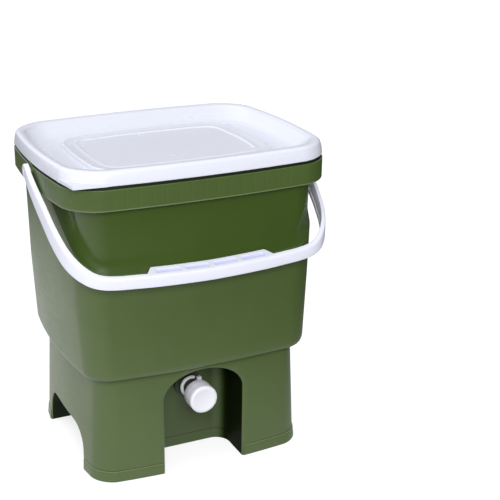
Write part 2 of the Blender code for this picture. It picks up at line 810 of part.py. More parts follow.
def make_handle():
    """Bail: channel section swept from pivot to pivot, eyes, pins and four grip slots."""
    stations = [(r, -w, shape) for (r, w), shape in zip(bail_plan_shares, bail_shapes)]
    stations += [(r, -w, shape) for r, w, shape in reversed(stations[:-1])]
    points = [Vector((w * bail_half_width, -r * bail_reach, pivot_height - r * bail_drop))
              for r, w, shape in stations]
    rings = []
    up = Vector((0, 0, 1))
    for i, p in enumerate(points):
        ahead = points[min(i + 1, len(points) - 1)] - points[max(i - 1, 0)]
        ahead.normalize()
        inward = up.cross(ahead)
        inward.z = 0
        inward.normalize()
        rise = ahead.cross(inward)
        rise.normalize()
        if rise.z < 0:
            rise = -rise
        rings.append([p + inward * n + rise * u for n, u in bail_section(stations[i][2])])
    handle = loft("handle", rings, parts)
    for side in (-1, 1):
        outer = side * bail_half_width
        inner = side * (bail_half_width - bail_flange)
        join(handle, rod("eye", eye_radius, (inner, 0, pivot_height), (outer, 0, pivot_height),
                         eye_steps, cutters))
        middle = side * (bail_half_width - bail_flange * half)
        join(handle, rod("pin", pin_radius, (side * pin_inner_x, 0, pivot_height),
                         (middle, 0, pivot_height), eye_steps, cutters))
    for k in range(grip_slot_count):
        cut(handle, grip_slot(k))
    return handle


def make_grate():
    """Strainer plate with a rim, drain holes and a low lifting knob."""
    low = ledge_height + floor_thickness + seat_gap
    high = low + grate_thickness
    inset = wall + grate_gap
    rim_top = low + grate_rim_height

    def grown(extra, height):
        return ring(tub_width_low - 2 * (inset + extra), tub_depth_low - 2 * (inset + extra),
                    tub_radius_low - inset - extra, height)
    rings = [grown(0, low), grown(0, rim_top), grown(grate_rim_width, rim_top), grown(grate_rim_width, high)]
    grate = loft("strainer_grate", rings, parts)
    bm = bmesh.new()
    for row in range(grate_rows):
        for column in range(grate_columns):
            x = (column - (grate_columns - 1) * half) * grate_hole_pitch
            y = (row - (grate_rows - 1) * half) * grate_hole_pitch
            if math.hypot(x, y) < grate_grip_radius + grate_hole_pitch * half:
                continue
            spot = Matrix.Translation((x, y, low + grate_thickness * half))
            bmesh.ops.create_cone(bm, cap_ends=True, segments=corner_steps, radius1=grate_hole_radius,
                                  radius2=grate_hole_radius, depth=grate_thickness + 2 * overcut,
                                  matrix=spot)
    cut(grate, finish(bm, "grate_holes", cutters))
    join(grate, rod("grate_grip", grate_grip_radius, (0, 0, low + grate_thickness * half),
                    (0, 0, low + grate_grip_height), 2 * corner_steps, cutters))
    return grate


def make_tap():
    """Tap: valve body, washers, nut, split ring, gland seal and the turning knob."""
    seat = niche_back_y + seat_gap
    washer_front = seat + washer_thickness
    flange_back = washer_front + seat_gap
    flange_front = flange_back + flange_thickness
    body = turned("tap_body", [
        (bore_radius, barrel_front_y), (barrel_radius, barrel_front_y), (barrel_radius, flange_front),
        (flange_radius, flange_front), (flange_radius, flange_back), (shank_radius, flange_back),
        (shank_radius, shank_end_y), (bore_radius, shank_end_y)], parts, loop=True)
    barrel_middle = (barrel_radius + bore_radius) * half
    join(body, rod("spout", spout_radius, (0, -spout_y, tap_height - spout_drop),
                   (0, -spout_y, tap_height - barrel_middle), turn_steps // 2, cutters))
    cut(body, rod("spout_bore", spout_bore, (0, -spout_y, tap_height - spout_drop - overcut),
                  (0, -spout_y, tap_height), turn_steps // 2, cutters))
    hole = shank_radius + seat_gap
    outer_washer = turned("tap_washer_outer", [
        (washer_radius, washer_front), (washer_radius, seat), (hole, seat), (hole, washer_front)],
        parts, loop=True)
    inner_wall = niche_back_y - stand_wall - seat_gap - wall
    washer_in = inner_wall - seat_gap
    washer_in_back = washer_in - washer_thickness
    inner_washer = turned("tap_washer_inner", [
        (inner_washer_radius, washer_in), (inner_washer_radius, washer_in_back),
        (hole, washer_in_back), (hole, washer_in)], parts, loop=True)
    nut_front = washer_in_back - seat_gap
    nut_back = nut_front - nut_thickness
    nut = rod("tap_nut", nut_radius, (0, -nut_front, tap_height), (0, -nut_back, tap_height),
              nut_sides, parts)
    cut(nut, rod("nut_hole", hole, (0, -nut_front - overcut, tap_height),
                 (0, overcut - nut_back, tap_height), turn_steps, cutters))

    ring_hole = barrel_radius + seat_gap
    ring_front = ring_y + ring_thickness
    split_ring = turned("tap_split_ring", [
        (ring_hole, ring_front), (ring_radius - ring_edge, ring_front),
        (ring_radius, ring_front - ring_edge), (ring_radius, ring_y + ring_edge),
        (ring_radius - ring_edge, ring_y), (ring_hole, ring_y)], parts, loop=True)
    slit = box("ring_slit", (0, -ring_front - overcut, -ring_slit * half),
               (ring_radius + overcut, overcut - ring_y, ring_slit * half), cutters)
    slit.location = (0, 0, tap_height)
    slit.rotation_euler = (0, -math.radians(ring_slit_degrees), 0)
    cut(split_ring, slit)

    gland_back = barrel_front_y + seat_gap
    gland = turned("tap_gland_seal", [
        (gland_radius, gland_back + gland_thickness), (gland_radius, gland_back),
        (stem_radius + seat_gap, gland_back), (stem_radius + seat_gap, gland_back + gland_thickness)],
        parts, loop=True)

    front_r = knob_radius - knob_front_edge
    out_share, in_share = knob_edge_shares
    profile = [(0, knob_front_y), (front_r, knob_front_y),
               (front_r + knob_front_edge * out_share, knob_front_y - knob_front_edge * in_share),
               (knob_radius, knob_front_y - knob_front_edge), (knob_radius, knob_back_y + knob_back_edge)]
    for i in range(1, knob_edge_steps + 1):
        turn = math.pi * half * i / knob_edge_steps
        profile.append((knob_radius - knob_back_edge * (1 - math.cos(turn)),
                        knob_back_y + knob_back_edge * (1 - math.sin(turn))))
    profile += [(stem_radius, knob_back_y), (stem_radius, stem_back_y), (0, stem_back_y)]
    knob = turned("tap_knob", profile, parts)
    cut(knob, rod("stem_bore", stem_bore, (0, overcut - stem_back_y, tap_height),
                  (0, -stem_back_y - stem_bore_length, tap_height), turn_steps // 2, cutters))
    cut(knob, rod("stem_port", stem_bore, (0, -spout_y, tap_height),
                  (stem_radius + overcut, -spout_y, tap_height), turn_steps // 2, cutters))
    return [body, outer_washer, inner_washer, nut, split_ring, gland, knob]


def set_origin(obj, point):
    """Put an object's origin on its joint axis without moving the object."""
    obj.data.transform(Matrix.Translation(obj.location - Vector(point)))
    obj.location = point


def main():
    fresh_scene()
    dress(make_bucket(), *green)
    dress(make_stand(), *stand_green)
    dress(make_lid(), *lid_white)
    dress(make_seal(), *black_rubber)
    dress(make_grate(), *grate_green)
    handle = make_handle()
    dress(handle, *bail_white)
    set_origin(handle, (0, 0, pivot_height))
    looks = (tap_green, black_rubber, black_rubber, knob_white, knob_white, black_rubber, knob_white)
    for piece, look in zip(make_tap(), looks):
        dress(piece, *look)
    for obj in list(parts.objects) + list(cutters.objects):
        obj.location.y += frame_shift_y


main()
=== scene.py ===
import math
from collections import namedtuple

import bmesh
import bpy
import numpy as np
from bpy.props import FloatProperty, FloatVectorProperty, IntProperty, PointerProperty
from mathutils import Matrix, Vector


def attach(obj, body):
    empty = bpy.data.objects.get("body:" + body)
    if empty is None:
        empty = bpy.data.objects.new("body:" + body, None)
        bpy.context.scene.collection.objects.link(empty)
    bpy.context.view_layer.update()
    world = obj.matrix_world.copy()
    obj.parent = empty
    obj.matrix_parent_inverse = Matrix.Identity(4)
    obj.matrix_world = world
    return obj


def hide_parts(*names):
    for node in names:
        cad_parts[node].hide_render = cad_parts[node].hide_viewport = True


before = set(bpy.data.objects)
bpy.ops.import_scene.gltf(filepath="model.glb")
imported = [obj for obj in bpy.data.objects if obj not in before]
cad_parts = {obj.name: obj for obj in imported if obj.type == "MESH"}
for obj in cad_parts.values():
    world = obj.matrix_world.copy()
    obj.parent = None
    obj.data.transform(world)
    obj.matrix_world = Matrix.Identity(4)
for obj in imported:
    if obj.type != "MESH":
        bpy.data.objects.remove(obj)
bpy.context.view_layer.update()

bl_info = {
    "name": "Bokashi bin looks",
    "version": (1, 0, 0),
    "blender": (4, 5, 0),
    "location": "3D View > Sidebar > Bin",
    "description": "Builds the visible pieces of a bokashi bin round its solid frame",
    "category": "Object",
}


def mm(name, description, value):
    """A length given in millimetres."""
    return FloatProperty(name=name, description=description, default=value / 1000, unit="LENGTH", precision=5)


def pair(name, description, first, second):
    """Two lengths given in millimetres, such as a width and a depth."""
    return FloatVectorProperty(name=name, description=description, default=(first / 1000, second / 1000),
                               size=2, unit="LENGTH", precision=5)


def paint(name, description, colour):
    """A colour in linear light."""
    return FloatVectorProperty(name=name, description=description, default=colour, size=3, min=0, max=1,
                               subtype="COLOR")


def plain(name, description, value):
    """A number without a unit."""
    return FloatProperty(name=name, description=description, default=value, precision=4)


class BinSizes(bpy.types.PropertyGroup):
    """Sizes of the visible pieces"""
    shift: mm("Frame shift", "How far the tub's middle lies behind the frame's middle", 4.2)
    bow_front: mm("Front bow", "How far the corners fall back from the middle of the front", 8.5)
    bow_side: mm("Side bow", "How far the corners fall in from the middle of the sides", 10.1)
    corner_steps: IntProperty(name="Corner steps", description="Facets in each corner", default=14)
    side_steps: IntProperty(name="Side steps", description="Facets along each side", default=14)
    wall: mm("Tub wall", "Thickness of the tub's wall", 2.6)
    ledge: mm("Ledge height", "Where the tub's shell ends over the stand", 130.3)
    edge_rise: mm("Edge rise", "Height of the tub's rounded lower edge", 9.0)
    edge_inset: mm("Edge inset", "How far the tub's rounded lower edge goes in", 4.2)
    mid_height: mm("Middle height", "Height at which the tub's draft changes", 220.0)
    low: pair("Low plan", "Tub's width and depth at the ledge", 286.8, 240.0)
    middle: pair("Middle plan", "Tub's width and depth where the draft changes", 296.5, 239.2)
    top: pair("Top plan", "Tub's width and depth under the collar", 298.5, 250.0)
    low_radius: mm("Low corner", "Tub corner radius at the ledge", 27.0)
    top_radius: mm("Top corner", "Tub corner radius under the collar", 33.0)
    tub_floor: mm("Tub floor", "Height of the tub's floor", 133.0)
    collar_bottom: mm("Collar bottom", "Lower edge of the collar", 331.0)
    collar_top: mm("Collar top", "Top of the collar's web", 357.7)
    collar: pair("Collar plan", "Collar's width and depth", 320.0, 257.5)
    collar_radius: mm("Collar corner", "Collar corner radius", 37.0)
    collar_wall: mm("Collar wall", "Thickness of the collar's skirt", 2.4)
    collar_web: mm("Collar web", "Thickness of the web over the collar", 3.5)
    lip: pair("Lip plan", "Width and depth of the lip that the lid seals on", 307.4, 250.4)
    lip_height: mm("Lip height", "Height of the lip over the web", 5.4)
    pocket: mm("Pocket depth", "How far the shell steps back above the handle", 3.5)
    pocket_height: mm("Pocket height", "Height of the pocket's outer edge at the tub's middle", 346.0)
    pocket_rise: plain("Pocket slope", "Slope of the pocket's outer edge towards the front", 0.75)
    rib_pitch: mm("Rib pitch", "From one rib behind the collar's skirt to the next", 14.5)
    panel_height: mm("Panel height", "Where the set-back panel starts on the front", 269.5)
    panel_corner: mm("Panel corner", "How far in front of the middle the panel's edge starts to rise", 114.0)
    panel_rise: plain("Panel slope", "Slope of the panel's edge along the sides", 1.05)
    well_floor: mm("Well floor", "Underside of the well", 62.0)
    well: pair("Well plan", "Well's width and depth at the ledge", 254.8, 215.2)
    well_taper: mm("Well taper", "How much narrower the well is at its floor", 9.0)
    well_radius: mm("Well corner", "Well corner radius", 21.0)
    stand_height: mm("Stand height", "Top of the stand", 130.0)
    stand_wall: mm("Stand wall", "Thickness of the stand's wall", 2.5)
    stand_radius: mm("Stand corner", "Stand corner radius", 24.0)
    foot: pair("Foot plan", "Stand's width and depth at the floor", 276.8, 228.2)
    band: pair("Band plan", "Foot band's width and depth at its top", 275.0, 226.2)
    band_height: mm("Band height", "Height of the foot band", 13.2)
    stand_low: pair("Stand low plan", "Stand's width and depth just over the band", 273.4, 224.6)
    stand_top: pair("Stand top plan", "Stand's width and depth at its top", 262.2, 222.2)
    niche_half: mm("Niche half width", "Half the tap niche's width", 49.5)
    niche_spring: mm("Niche spring", "Height where the niche's arch starts", 92.0)
    niche_rise: mm("Niche rise", "Rise of the niche's arch", 32.0)
    niche_back: mm("Niche back", "Back wall in front of the tub's middle", 58.0)
    niche_radius: mm("Niche back corner", "Radius of the niche's back corners", 17.5)
    niche_flare: mm("Niche edge", "Rounding of the niche's front edge", 1.8)
    arch_half: mm("Arch half length", "Half the side arch's length", 62.5)
    arch_spread: mm("Arch spread", "How much the arch widens to the floor", 3.0)
    arch_height: mm("Arch height", "Top of the side arch", 49.5)
    arch_radius: mm("Arch corner", "Corner radius of the side arch", 29.0)
    arch_depth: mm("Arch depth", "Inner end of the side arch from the middle", 86.0)
    arch_flare: mm("Arch edge", "Rounding of the side arch's edge", 1.6)
    lid_bottom: mm("Lid bottom", "Lower edge of the lid", 358.3)
    lid: pair("Lid plan", "Lid's width and depth", 320.0, 258.0)
    lid_radius: mm("Lid corner", "Lid corner radius", 39.5)
    lid_height: mm("Lid height", "Height of the lid's rim", 15.5)
    lid_slope: pair("Lid slope", "From the lid's side and from its front to its floor", 27.0, 44.5)
    lid_corner_drop: mm("Lid corner drop", "How much tighter the corners get on the way in", 15.0)
    lid_wall: mm("Lid wall", "Thickness of the lid's floor", 2.2)
    bead: pair("Bead plan", "Raised bead's width and depth", 222.0, 169.0)
    bead_radius: mm("Bead corner", "Corner radius of the bead", 31.0)
    bead_rise: mm("Bead rise", "Height of the bead", 4.6)
    bead_band: mm("Bead band", "Breadth of the bead", 20.0)
    bead_bow: mm("Bead bow", "Bow of the bead's sides", 5.0)
    tab_radius: mm("Tab corner", "Corner radius of the pull tab", 2.0)
    tab_thickness: mm("Tab thickness", "Thickness of the pull tab", 3.6)
    pivot: mm("Pivot height", "Height of the handle's pins", 348.5)
    bail_half: mm("Handle half width", "Half the handle's width over its outer faces", 167.5)
    bail_reach: mm("Handle reach", "How far the bar lies in front of the pins", 137.4)
    bail_drop: mm("Handle drop", "How far the bar hangs below the pins", 98.1)
    eye_face: pair("Eye face", "Outer face below and above the handle's line at the pins", 5.8, 7.8)
    arm_face: pair("Arm face", "Outer face below and above the handle's line on the arms", 8.1, 10.0)
    bar_face: pair("Bar face", "Outer face below and above the handle's line on the bar", 7.0, 5.9)
    bail_wall: mm("Handle wall", "Thickness of the handle's section", 1.7)
    bail_flange: mm("Handle flange", "Breadth of the handle's top", 5.3)
    shoulder: mm("Handle shoulder", "Rise of the handle's top from its outer face inwards", 1.7)
    bail_step: mm("Handle step", "Step of the handle's inner face", 0.7)
    step_below: mm("Step below", "The inner face's step below the handle's line", 2.0)
    grip_flange: mm("Grip flange", "Breadth of the grip's top", 15.0)
    grip_rise: mm("Grip rise", "How far the grip's top rises beyond the shoulder", 3.5)
    grip_wall: mm("Grip wall", "Thickness of the grip's top", 3.2)
    grip_lip: mm("Grip lip", "Height of the grip's inner edge", 6.0)
    grip_half: mm("Grip half length", "Half the grip's length", 72.0)
    slot_length: mm("Slot length", "Length of a grip slot", 28.5)
    slot_width: mm("Slot width", "Width of a grip slot", 6.2)
    slot_pitch: mm("Slot pitch", "From one grip slot to the next", 33.5)
    slot_inset: mm("Slot inset", "Middle of the grip slots behind the outer face", 8.0)
    slot_depth: mm("Slot depth", "Depth of the grip slots", 1.4)
    eye_radius: mm("Eye radius", "Round end of the handle's arm", 8.6)
    pin_radius: mm("Pin radius", "Radius of the handle's pins", 4.2)
    tap_height: mm("Tap height", "Height of the tap's axis", 84.6)
    knob_front: mm("Knob front", "Knob face in front of the tub's middle", 111.0)
    knob_back: mm("Knob back", "Back of the knob", 88.6)
    knob_radius: mm("Knob radius", "Radius of the knob", 17.0)
    knob_edge: mm("Knob edge", "Rounding of the knob's back edge", 4.6)
    ring_radius: mm("Ring radius", "Outer radius of the split ring", 13.6)
    ring_tube: mm("Ring tube", "Radius of the split ring's section", 2.15)
    ring_place: mm("Ring place", "Middle of the split ring in front of the tub's middle", 72.5)
    spout_place: mm("Spout place", "Middle of the spout in front of the tub's middle", 81.0)


class BinColours(bpy.types.PropertyGroup):
    """Colours and surface of the materials"""
    green: paint("Green", "Tub and stand", (0.062, 0.104, 0.02))
    # Panel: polished, and painted darker than the tub's green as shade under the collar
    panel: paint("Panel", "Polished panel over the handle", (0.045, 0.082, 0.012))
    lid: paint("Lid", "Lid", (0.705, 0.72, 0.805))
    bail: paint("Handle", "Handle", (0.775, 0.785, 0.89))
    # Slots: darker and bluer than the handle, painted shade on the slots' floors
    slot: paint("Slots", "Floor of the grip's slots", (0.655, 0.675, 0.94))
    knob: paint("Knob", "Knob and split ring", (0.84, 0.84, 0.9))
    # Valve: dark plastic whose colour also stands in for the shade round it in the niche
    valve: paint("Valve", "Valve body in the niche", (0.034, 0.045, 0.025))
    # Niche: darker than the stand's green, painted shade in the tap niche
    niche: paint("Niche", "Back of the tap niche", (0.04, 0.07, 0.013))
    # Arch: nearly black, painted shade inside the side arches
    arch: paint("Arch", "Inside of the side arches", (0.005, 0.01, 0.002))
    # Painted shade: nearly black, for the groove under the lid and the dark line over the foot band
    painted_shade: paint("Gloom", "Bottom of the groove under the lid", (0.008, 0.014, 0.003))
    # Edge highlight: lighter green for painted highlight lines along the tub's lower edges and over the foot
    # band
    edge_highlight: paint("Crest", "Fine moulding line along the tub's edges", (0.15, 0.2, 0.09))
    strainer: paint("Strainer", "Strainer plate", (0.055, 0.085, 0.025))
    rubber: paint("Rubber", "Seals and washers", (0.02, 0.02, 0.02))
    floor: paint("Floor", "Floor", (0.45, 0.45, 0.46))


def sizes():
    return bpy.context.scene.bin_sizes


def colours():
    return bpy.context.scene.bin_colours


# Mesh helpers

def solid(name, verts, faces, angle=38):
    """A mesh object with outward faces, smooth except over sharp edges."""
    mesh = bpy.data.meshes.new(name)
    mesh.from_pydata([tuple(v) for v in verts], [], faces)
    obj = bpy.data.objects.new(name, mesh)
    bpy.context.scene.collection.objects.link(obj)
    tidy(obj, angle)
    return obj


def tidy(obj, angle=38):
    """Face outwards and smooth up to an angle."""
    bm = bmesh.new()
    bm.from_mesh(obj.data)
    bmesh.ops.recalc_face_normals(bm, faces=bm.faces)
    bm.to_mesh(obj.data)
    bm.free()
    obj.data.shade_smooth()
    obj.data.set_sharp_from_angle(angle=math.radians(angle))


def bridge(n, first, second):
    """Faces between two loops of n points, given by their places in the list of loops."""
    a, b = first * n, second * n
    return [(a + i, a + (i + 1) % n, b + (i + 1) % n, b + i) for i in range(n)]


def skin(name, loops, closed=False):
    """Skin between loops of like count, capped at both ends unless closed."""
    loops = [np.asarray(loop, float) for loop in loops]
    n = len(loops[0])
    faces = []
    for k in range(len(loops) if closed else len(loops) - 1):
        faces += bridge(n, k, (k + 1) % len(loops))
    if not closed:
        faces += [tuple(reversed(range(n))), tuple(range(len(loops) * n - n, len(loops) * n))]
    return solid(name, np.vstack(loops), faces)


def carve(obj, steps, angle=38):
    """Apply exact Booleans with tools that are then thrown away."""
    for operation, tool in steps:
        mod = obj.modifiers.new(operation, "BOOLEAN")
        mod.operation = operation
        mod.object = tool
        mod.solver = "EXACT"
    graph = bpy.context.evaluated_depsgraph_get()
    mesh = bpy.data.meshes.new_from_object(obj.evaluated_get(graph))
    obj.modifiers.clear()
    obj.data = mesh
    for _, tool in steps:
        bpy.data.objects.remove(tool, do_unlink=True)
    tidy(obj, angle)
    return obj


def cuts(tools):
    """Steps for carve that take these tools away."""
    return [("DIFFERENCE", tool) for tool in tools]


def lathe(name, rows, at, along, steps=48, closed=False):
    """Turned shape: rows of radius and distance along an axis from a point."""
    along = Vector(along).normalized()
    side = along.orthogonal().normalized()
    up = along.cross(side)
    at = Vector(at)
    loops = []
    for r, h in rows:
        loops.append([at + along * h + (side * math.cos(t) + up * math.sin(t)) * r
                      for t in np.linspace(0, 2 * math.pi, steps, endpoint=False)])
    return skin(name, loops, closed)


def at_pins(name, rows, steps=48, closed=False):
    """The same turned shape round the handle's left and right pin."""
    return [lathe(name, rows, (0, 0, sizes().pivot), (side, 0, 0), steps, closed) for side in (-1, 1)]


def at_tap(name, rows, steps):
    """Turned shape round the tap's axis, with its rows going to the front."""
    return lathe(name, rows, (0, 0, sizes().tap_height), (0, -1, 0), steps)


def block(name, low, high):
    """Box between two corners."""
    x0, y0, z0 = low
    x1, y1, z1 = high
    verts = [(x, y, z) for z in (z0, z1) for x, y in ((x0, y0), (x1, y0), (x1, y1), (x0, y1))]
    faces = [(0, 1, 2, 3), (4, 5, 6, 7), (0, 1, 5, 4), (1, 2, 6, 5), (2, 3, 7, 6), (3, 0, 4, 7)]
    return solid(name, verts, faces)


def merge(name, objs):
    """Join the meshes of several objects into one."""
    bm = bmesh.new()
    for obj in objs:
        bm.from_mesh(obj.data)
        bpy.data.objects.remove(obj, do_unlink=True)
    mesh = bpy.data.meshes.new(name)
    bm.to_mesh(mesh)
    bm.free()
    obj = bpy.data.objects.new(name, mesh)
    bpy.context.scene.collection.objects.link(obj)
    tidy(obj)
    return obj


def quarter(steps, first=0):
    """Quarter circle in steps: how far each point has come in, and how far it still has to rise."""
    turns = [math.pi / 2 * i / steps for i in range(first, steps + 1)]
    return [(1 - math.cos(turn), 1 - math.sin(turn)) for turn in turns]


def corner_arc(cx, cy, radius, start, steps):
    """Points of a quarter circle round a centre, from a start angle in degrees."""
    turn = np.radians(start + np.linspace(0, 90, steps + 1))
    return np.c_[cx + radius * np.cos(turn), cy + radius * np.sin(turn)]


def plan(size, radius, inset=0.0, bow=None):
    """Rounded rectangle with bowed sides, set in evenly, as rows of x and y, always the same count."""
    s = sizes()
    side_bow, front_bow = (s.bow_side, s.bow_front) if bow is None else (bow, bow)
    w, d, r = size[0] / 2 - inset, size[1] / 2 - inset, radius - inset
    corners = ((w - r, r - d, -90), (w - r, d - r, 0), (r - w, d - r, 90), (r - w, r - d, 180))
    arcs = [corner_arc(cx, cy, r, start, s.corner_steps) for cx, cy, start in corners]
    points = []
    for i, arc in enumerate(arcs):
        t = np.linspace(0, 1, s.side_steps + 1)[1:-1, None]
        points += [arc, arc[-1] * (1 - t) + arcs[(i + 1) % 4][0] * t]
    x, y = np.vstack(points).T
    return np.c_[x - side_bow * (x / w) * (y / d) ** 2, y - front_bow * (y / d) * (x / w) ** 2]


def level(points, height):
    """Lift plan points to a height."""
    return np.c_[points, np.broadcast_to(height, len(points))]


def stack(size, radius, rows, base=0.0, bow=None):
    """Loops of one plan: rows of inset and height over a base."""
    return [level(plan(size, radius, inset, bow), base + height) for inset, height in rows]


def smooth(t):
    t = np.clip(t, 0, 1)
    return t * t * (3 - 2 * t)


def curve_rows(rows, steps):
    """Rows of numbers made smooth: a Catmull-Rom run through them with some steps between each two."""
    rows = np.asarray(rows, float)
    ends = np.vstack([2 * rows[0] - rows[1], rows, 2 * rows[-1] - rows[-2]])
    out = []
    for i in range(1, len(ends) - 2):
        a, b, c, d = ends[i - 1:i + 3]
        for t in np.arange(steps) / steps:
            out.append(0.5 * (2 * b + (c - a) * t + (2 * a - 5 * b + 4 * c - d) * t ** 2
                              + (3 * b - a - 3 * c + d) * t ** 3))
    out.append(rows[-1])
    return np.array(out)


def dress(obj, body, materials, hides=()):
    """Move a piece to the frame's middle, give it materials and a body, and hide the solid nodes that it
    stands for.
    """
    obj.data.transform(Matrix.Translation((0, sizes().shift, 0)))
    obj.data.materials.clear()
    for material in materials:
        obj.data.materials.append(material)
    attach(obj, body)
    if hides:
        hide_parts(*hides)


# Materials

class Graph:
    """Shorthand for adding nodes to one node tree."""

    def __init__(self, owner):
        owner.use_nodes = True
        self.nodes, self.links = owner.node_tree.nodes, owner.node_tree.links

    def add(self, kind, **inputs):
        """New node whose named inputs are set to values or joined to sockets."""
        node = self.nodes.new("ShaderNode" + kind)
        for key, value in inputs.items():
            self.put(node, key.replace("_", " "), value)
        return node

    def put(self, node, key, value):
        if isinstance(value, bpy.types.NodeSocket):
            self.links.new(value, node.inputs[key])
        else:
            node.inputs[key].default_value = value

    def maths(self, kind, a, b=0.0):
        node = self.nodes.new("ShaderNodeMath")
        node.operation = kind
        self.put(node, 0, a)
        self.put(node, 1, b)
        return node.outputs[0]

    def times(self, a, b):
        return self.maths("MULTIPLY", a, b)

    def measure(self, kind, vector, other):
        """Number that a vector operation gives for two vectors."""
        node = self.nodes.new("ShaderNodeVectorMath")
        node.operation = kind
        self.put(node, 0, vector)
        self.put(node, 1, other)
        return node.outputs["Value"]

    def scaled(self, colour, factor):
        """A colour made lighter or darker by a factor."""
        node = self.nodes.new("ShaderNodeVectorMath")
        node.operation = "SCALE"
        self.put(node, 0, colour)
        self.put(node, "Scale", factor)
        return node.outputs[0]

    def noise(self, scale, detail, stretch=(1, 1, 1)):
        coords = self.add("TexCoord").outputs["Object"]
        move = self.add("Mapping", Vector=coords, Scale=stretch)
        return self.add("TexNoise", Vector=move.outputs[0], Scale=scale, Detail=detail).outputs["Fac"]

    def spread(self, source, low, high, start=0.3, end=0.7):
        """Eased step from low to high while the source goes from start to end."""
        node = self.add("MapRange", Value=source, From_Min=start, From_Max=end, To_Min=low, To_Max=high)
        node.interpolation_type = "SMOOTHSTEP"
        return node.outputs["Result"]

    def place(self):
        """X, Y and Z of the place on the object."""
        return self.add("SeparateXYZ", Vector=self.add("TexCoord").outputs["Object"]).outputs

    def facing(self, axis):
        """How squarely the surface faces an axis, whichever way."""
        normal = self.add("SeparateXYZ", Vector=self.add("NewGeometry").outputs["Normal"])
        return self.maths("ABSOLUTE", normal.outputs[axis])

    def bump(self, height, strength, distance, normal):
        return self.add("Bump", Height=height, Strength=strength, Distance=distance, Normal=normal).outputs[0]


# Scales of the plastic's noises, from waves and patches in its tone to scuffs and grain
STREAKS, CLOUDS, HAZE, WAVES, SCUFFS, GRAIN = 5, 7, 9, 13, 60, 1500
GRAIN_DEPTH, WAVE_DEPTH, SINK_DEPTH = 0.00012, 0.0012, 0.0004
# Half width of a sink mark, and where they fade in over the collar's lower edge
SINK_HALF, SINK_START, SINK_FULL = 0.0022, 0.001, 0.004
# Half width of the painted shadow line over the foot band in the niche, and where it has faded out
NICHE_SHADOW_LINE, NICHE_SHADOW_END = 0.0004, 0.0009


def plastic(name, colour, rough, grain=0.0, mottle=0.05, edge=0.0003, shine=0.5, depth=0.0, sinks=False,
            niche_shade=False):
    """Moulded plastic: faint mottling, fine grain, uneven sheen and softly rounded edges, and where asked,
    painted shade on the niche's walls with a painted shadow line along the foot band.
    """
    mat = bpy.data.materials.get(name)
    if mat:
        return mat
    mat = bpy.data.materials.new(name)
    g = Graph(mat)
    shader = g.nodes["Principled BSDF"]
    streak = mottle * 0.3
    cloud = g.spread(g.noise(CLOUDS, 3), 1 - mottle, 1 + mottle)
    tone = g.times(cloud, g.spread(g.noise(STREAKS, 4, (9, 9, 1)), 1 - streak, 1 + streak))
    # Painted shade in the niche: darker colour and weaker specular on its side walls and roof, and a painted
    # shadow line along the foot band
    if niche_shade:
        wall, line = niche_painted_shade(g)
        tone = g.times(tone, g.times(wall, line))
        shine = g.times(g.times(wall, wall), shine)
    g.put(shader, "Base Color", g.scaled(colour, tone))
    scuff = g.spread(g.noise(SCUFFS, 5, (1, 1, 3)), rough - mottle * 0.4, rough + mottle * 0.4)
    g.put(shader, "Roughness", g.times(scuff, g.spread(g.noise(HAZE, 2), 0.95, 1.06)))
    g.put(shader, "IOR", 1.49)
    g.put(shader, "Specular IOR Level", shine)
    if depth:
        g.put(shader, "Subsurface Weight", depth)
        g.put(shader, "Subsurface Radius", (0.004, 0.004, 0.005))
        g.put(shader, "Subsurface Scale", 1.0)
    round_off = g.add("Bevel", Radius=edge)
    round_off.samples = 6
    normal = round_off.outputs[0]
    if grain:
        normal = g.bump(g.noise(GRAIN, 2), grain, GRAIN_DEPTH, normal)
    if sinks:
        normal = g.bump(collar_sinks(g), 0.3, SINK_DEPTH, normal)
    g.put(shader, "Normal", g.bump(g.noise(WAVES, 2), 0.03, WAVE_DEPTH, normal))
    return mat


def niche_painted_shade(g):
    """Painted shade for the niche: how much light is left on its walls, and the thin painted shadow line of
    the foot band on them.
    """
    wall = g.spread(g.facing("Y"), 0.15, 1.0, 0.45, 0.97)
    gap = g.maths("ABSOLUTE", g.maths("SUBTRACT", g.place()["Z"], sizes().band_height))
    return wall, g.spread(gap, 0.3, 1.0, NICHE_SHADOW_LINE, NICHE_SHADOW_END)


def collar_sinks(g):
    """Height of the collar's faint sink marks: one narrow groove in front of each rib behind the skirt."""
    s = sizes()
    place = g.place()
    height = 1.0
    for across, out in (("X", "Y"), ("Y", "X")):
        gap = g.maths("PINGPONG", g.maths("ADD", place[across], s.rib_pitch * 20.5), s.rib_pitch / 2)
        groove = g.spread(gap, 1.0, 0.0, 0.0, SINK_HALF)
        flat = g.spread(g.facing(out), 0.0, 1.0, 0.9, 0.97)
        height = g.maths("SUBTRACT", height, g.times(groove, flat))
    foot = s.collar_bottom
    return g.times(height, g.spread(place["Z"], 0.0, 1.0, foot + SINK_START, foot + SINK_FULL))


def green():
    return plastic("tub_green", colours().green, 0.36, grain=0.18, edge=0.0005, shine=0.8, sinks=True)


# Painted highlight for thin lines along edges
def highlight_green():
    return plastic("highlight_green", colours().edge_highlight, 0.34, edge=0.0001)


# Painted shade for the groove under the lid and the line over the foot band
def shade_green():
    return plastic("shade_green", colours().painted_shade, 0.6, edge=0.0001, shine=0.2)


# Painted shade inside the side arches
def arch_shade_green():
    return plastic("arch_shade_green", colours().arch, 0.55, grain=0.1, shine=0.12)


# Painted shade for the inside of the tap niche
def niche_shade_green():
    return plastic("niche_shade_green", colours().niche, 0.38, grain=0.1, shine=0.55, niche_shade=True)


# Polished panel over the handle, its colour painted darker as shade under the collar
def shaded_panel_green():
    return plastic("shaded_panel_green", colours().panel, 0.2, grain=0.05, shine=0.8)


def stand_green():
    return plastic("stand_green", colours().green, 0.38, grain=0.2, edge=0.0004, shine=0.8)


def lid_white():
    return plastic("lid_white", colours().lid, 0.26, mottle=0.01, edge=0.0004)


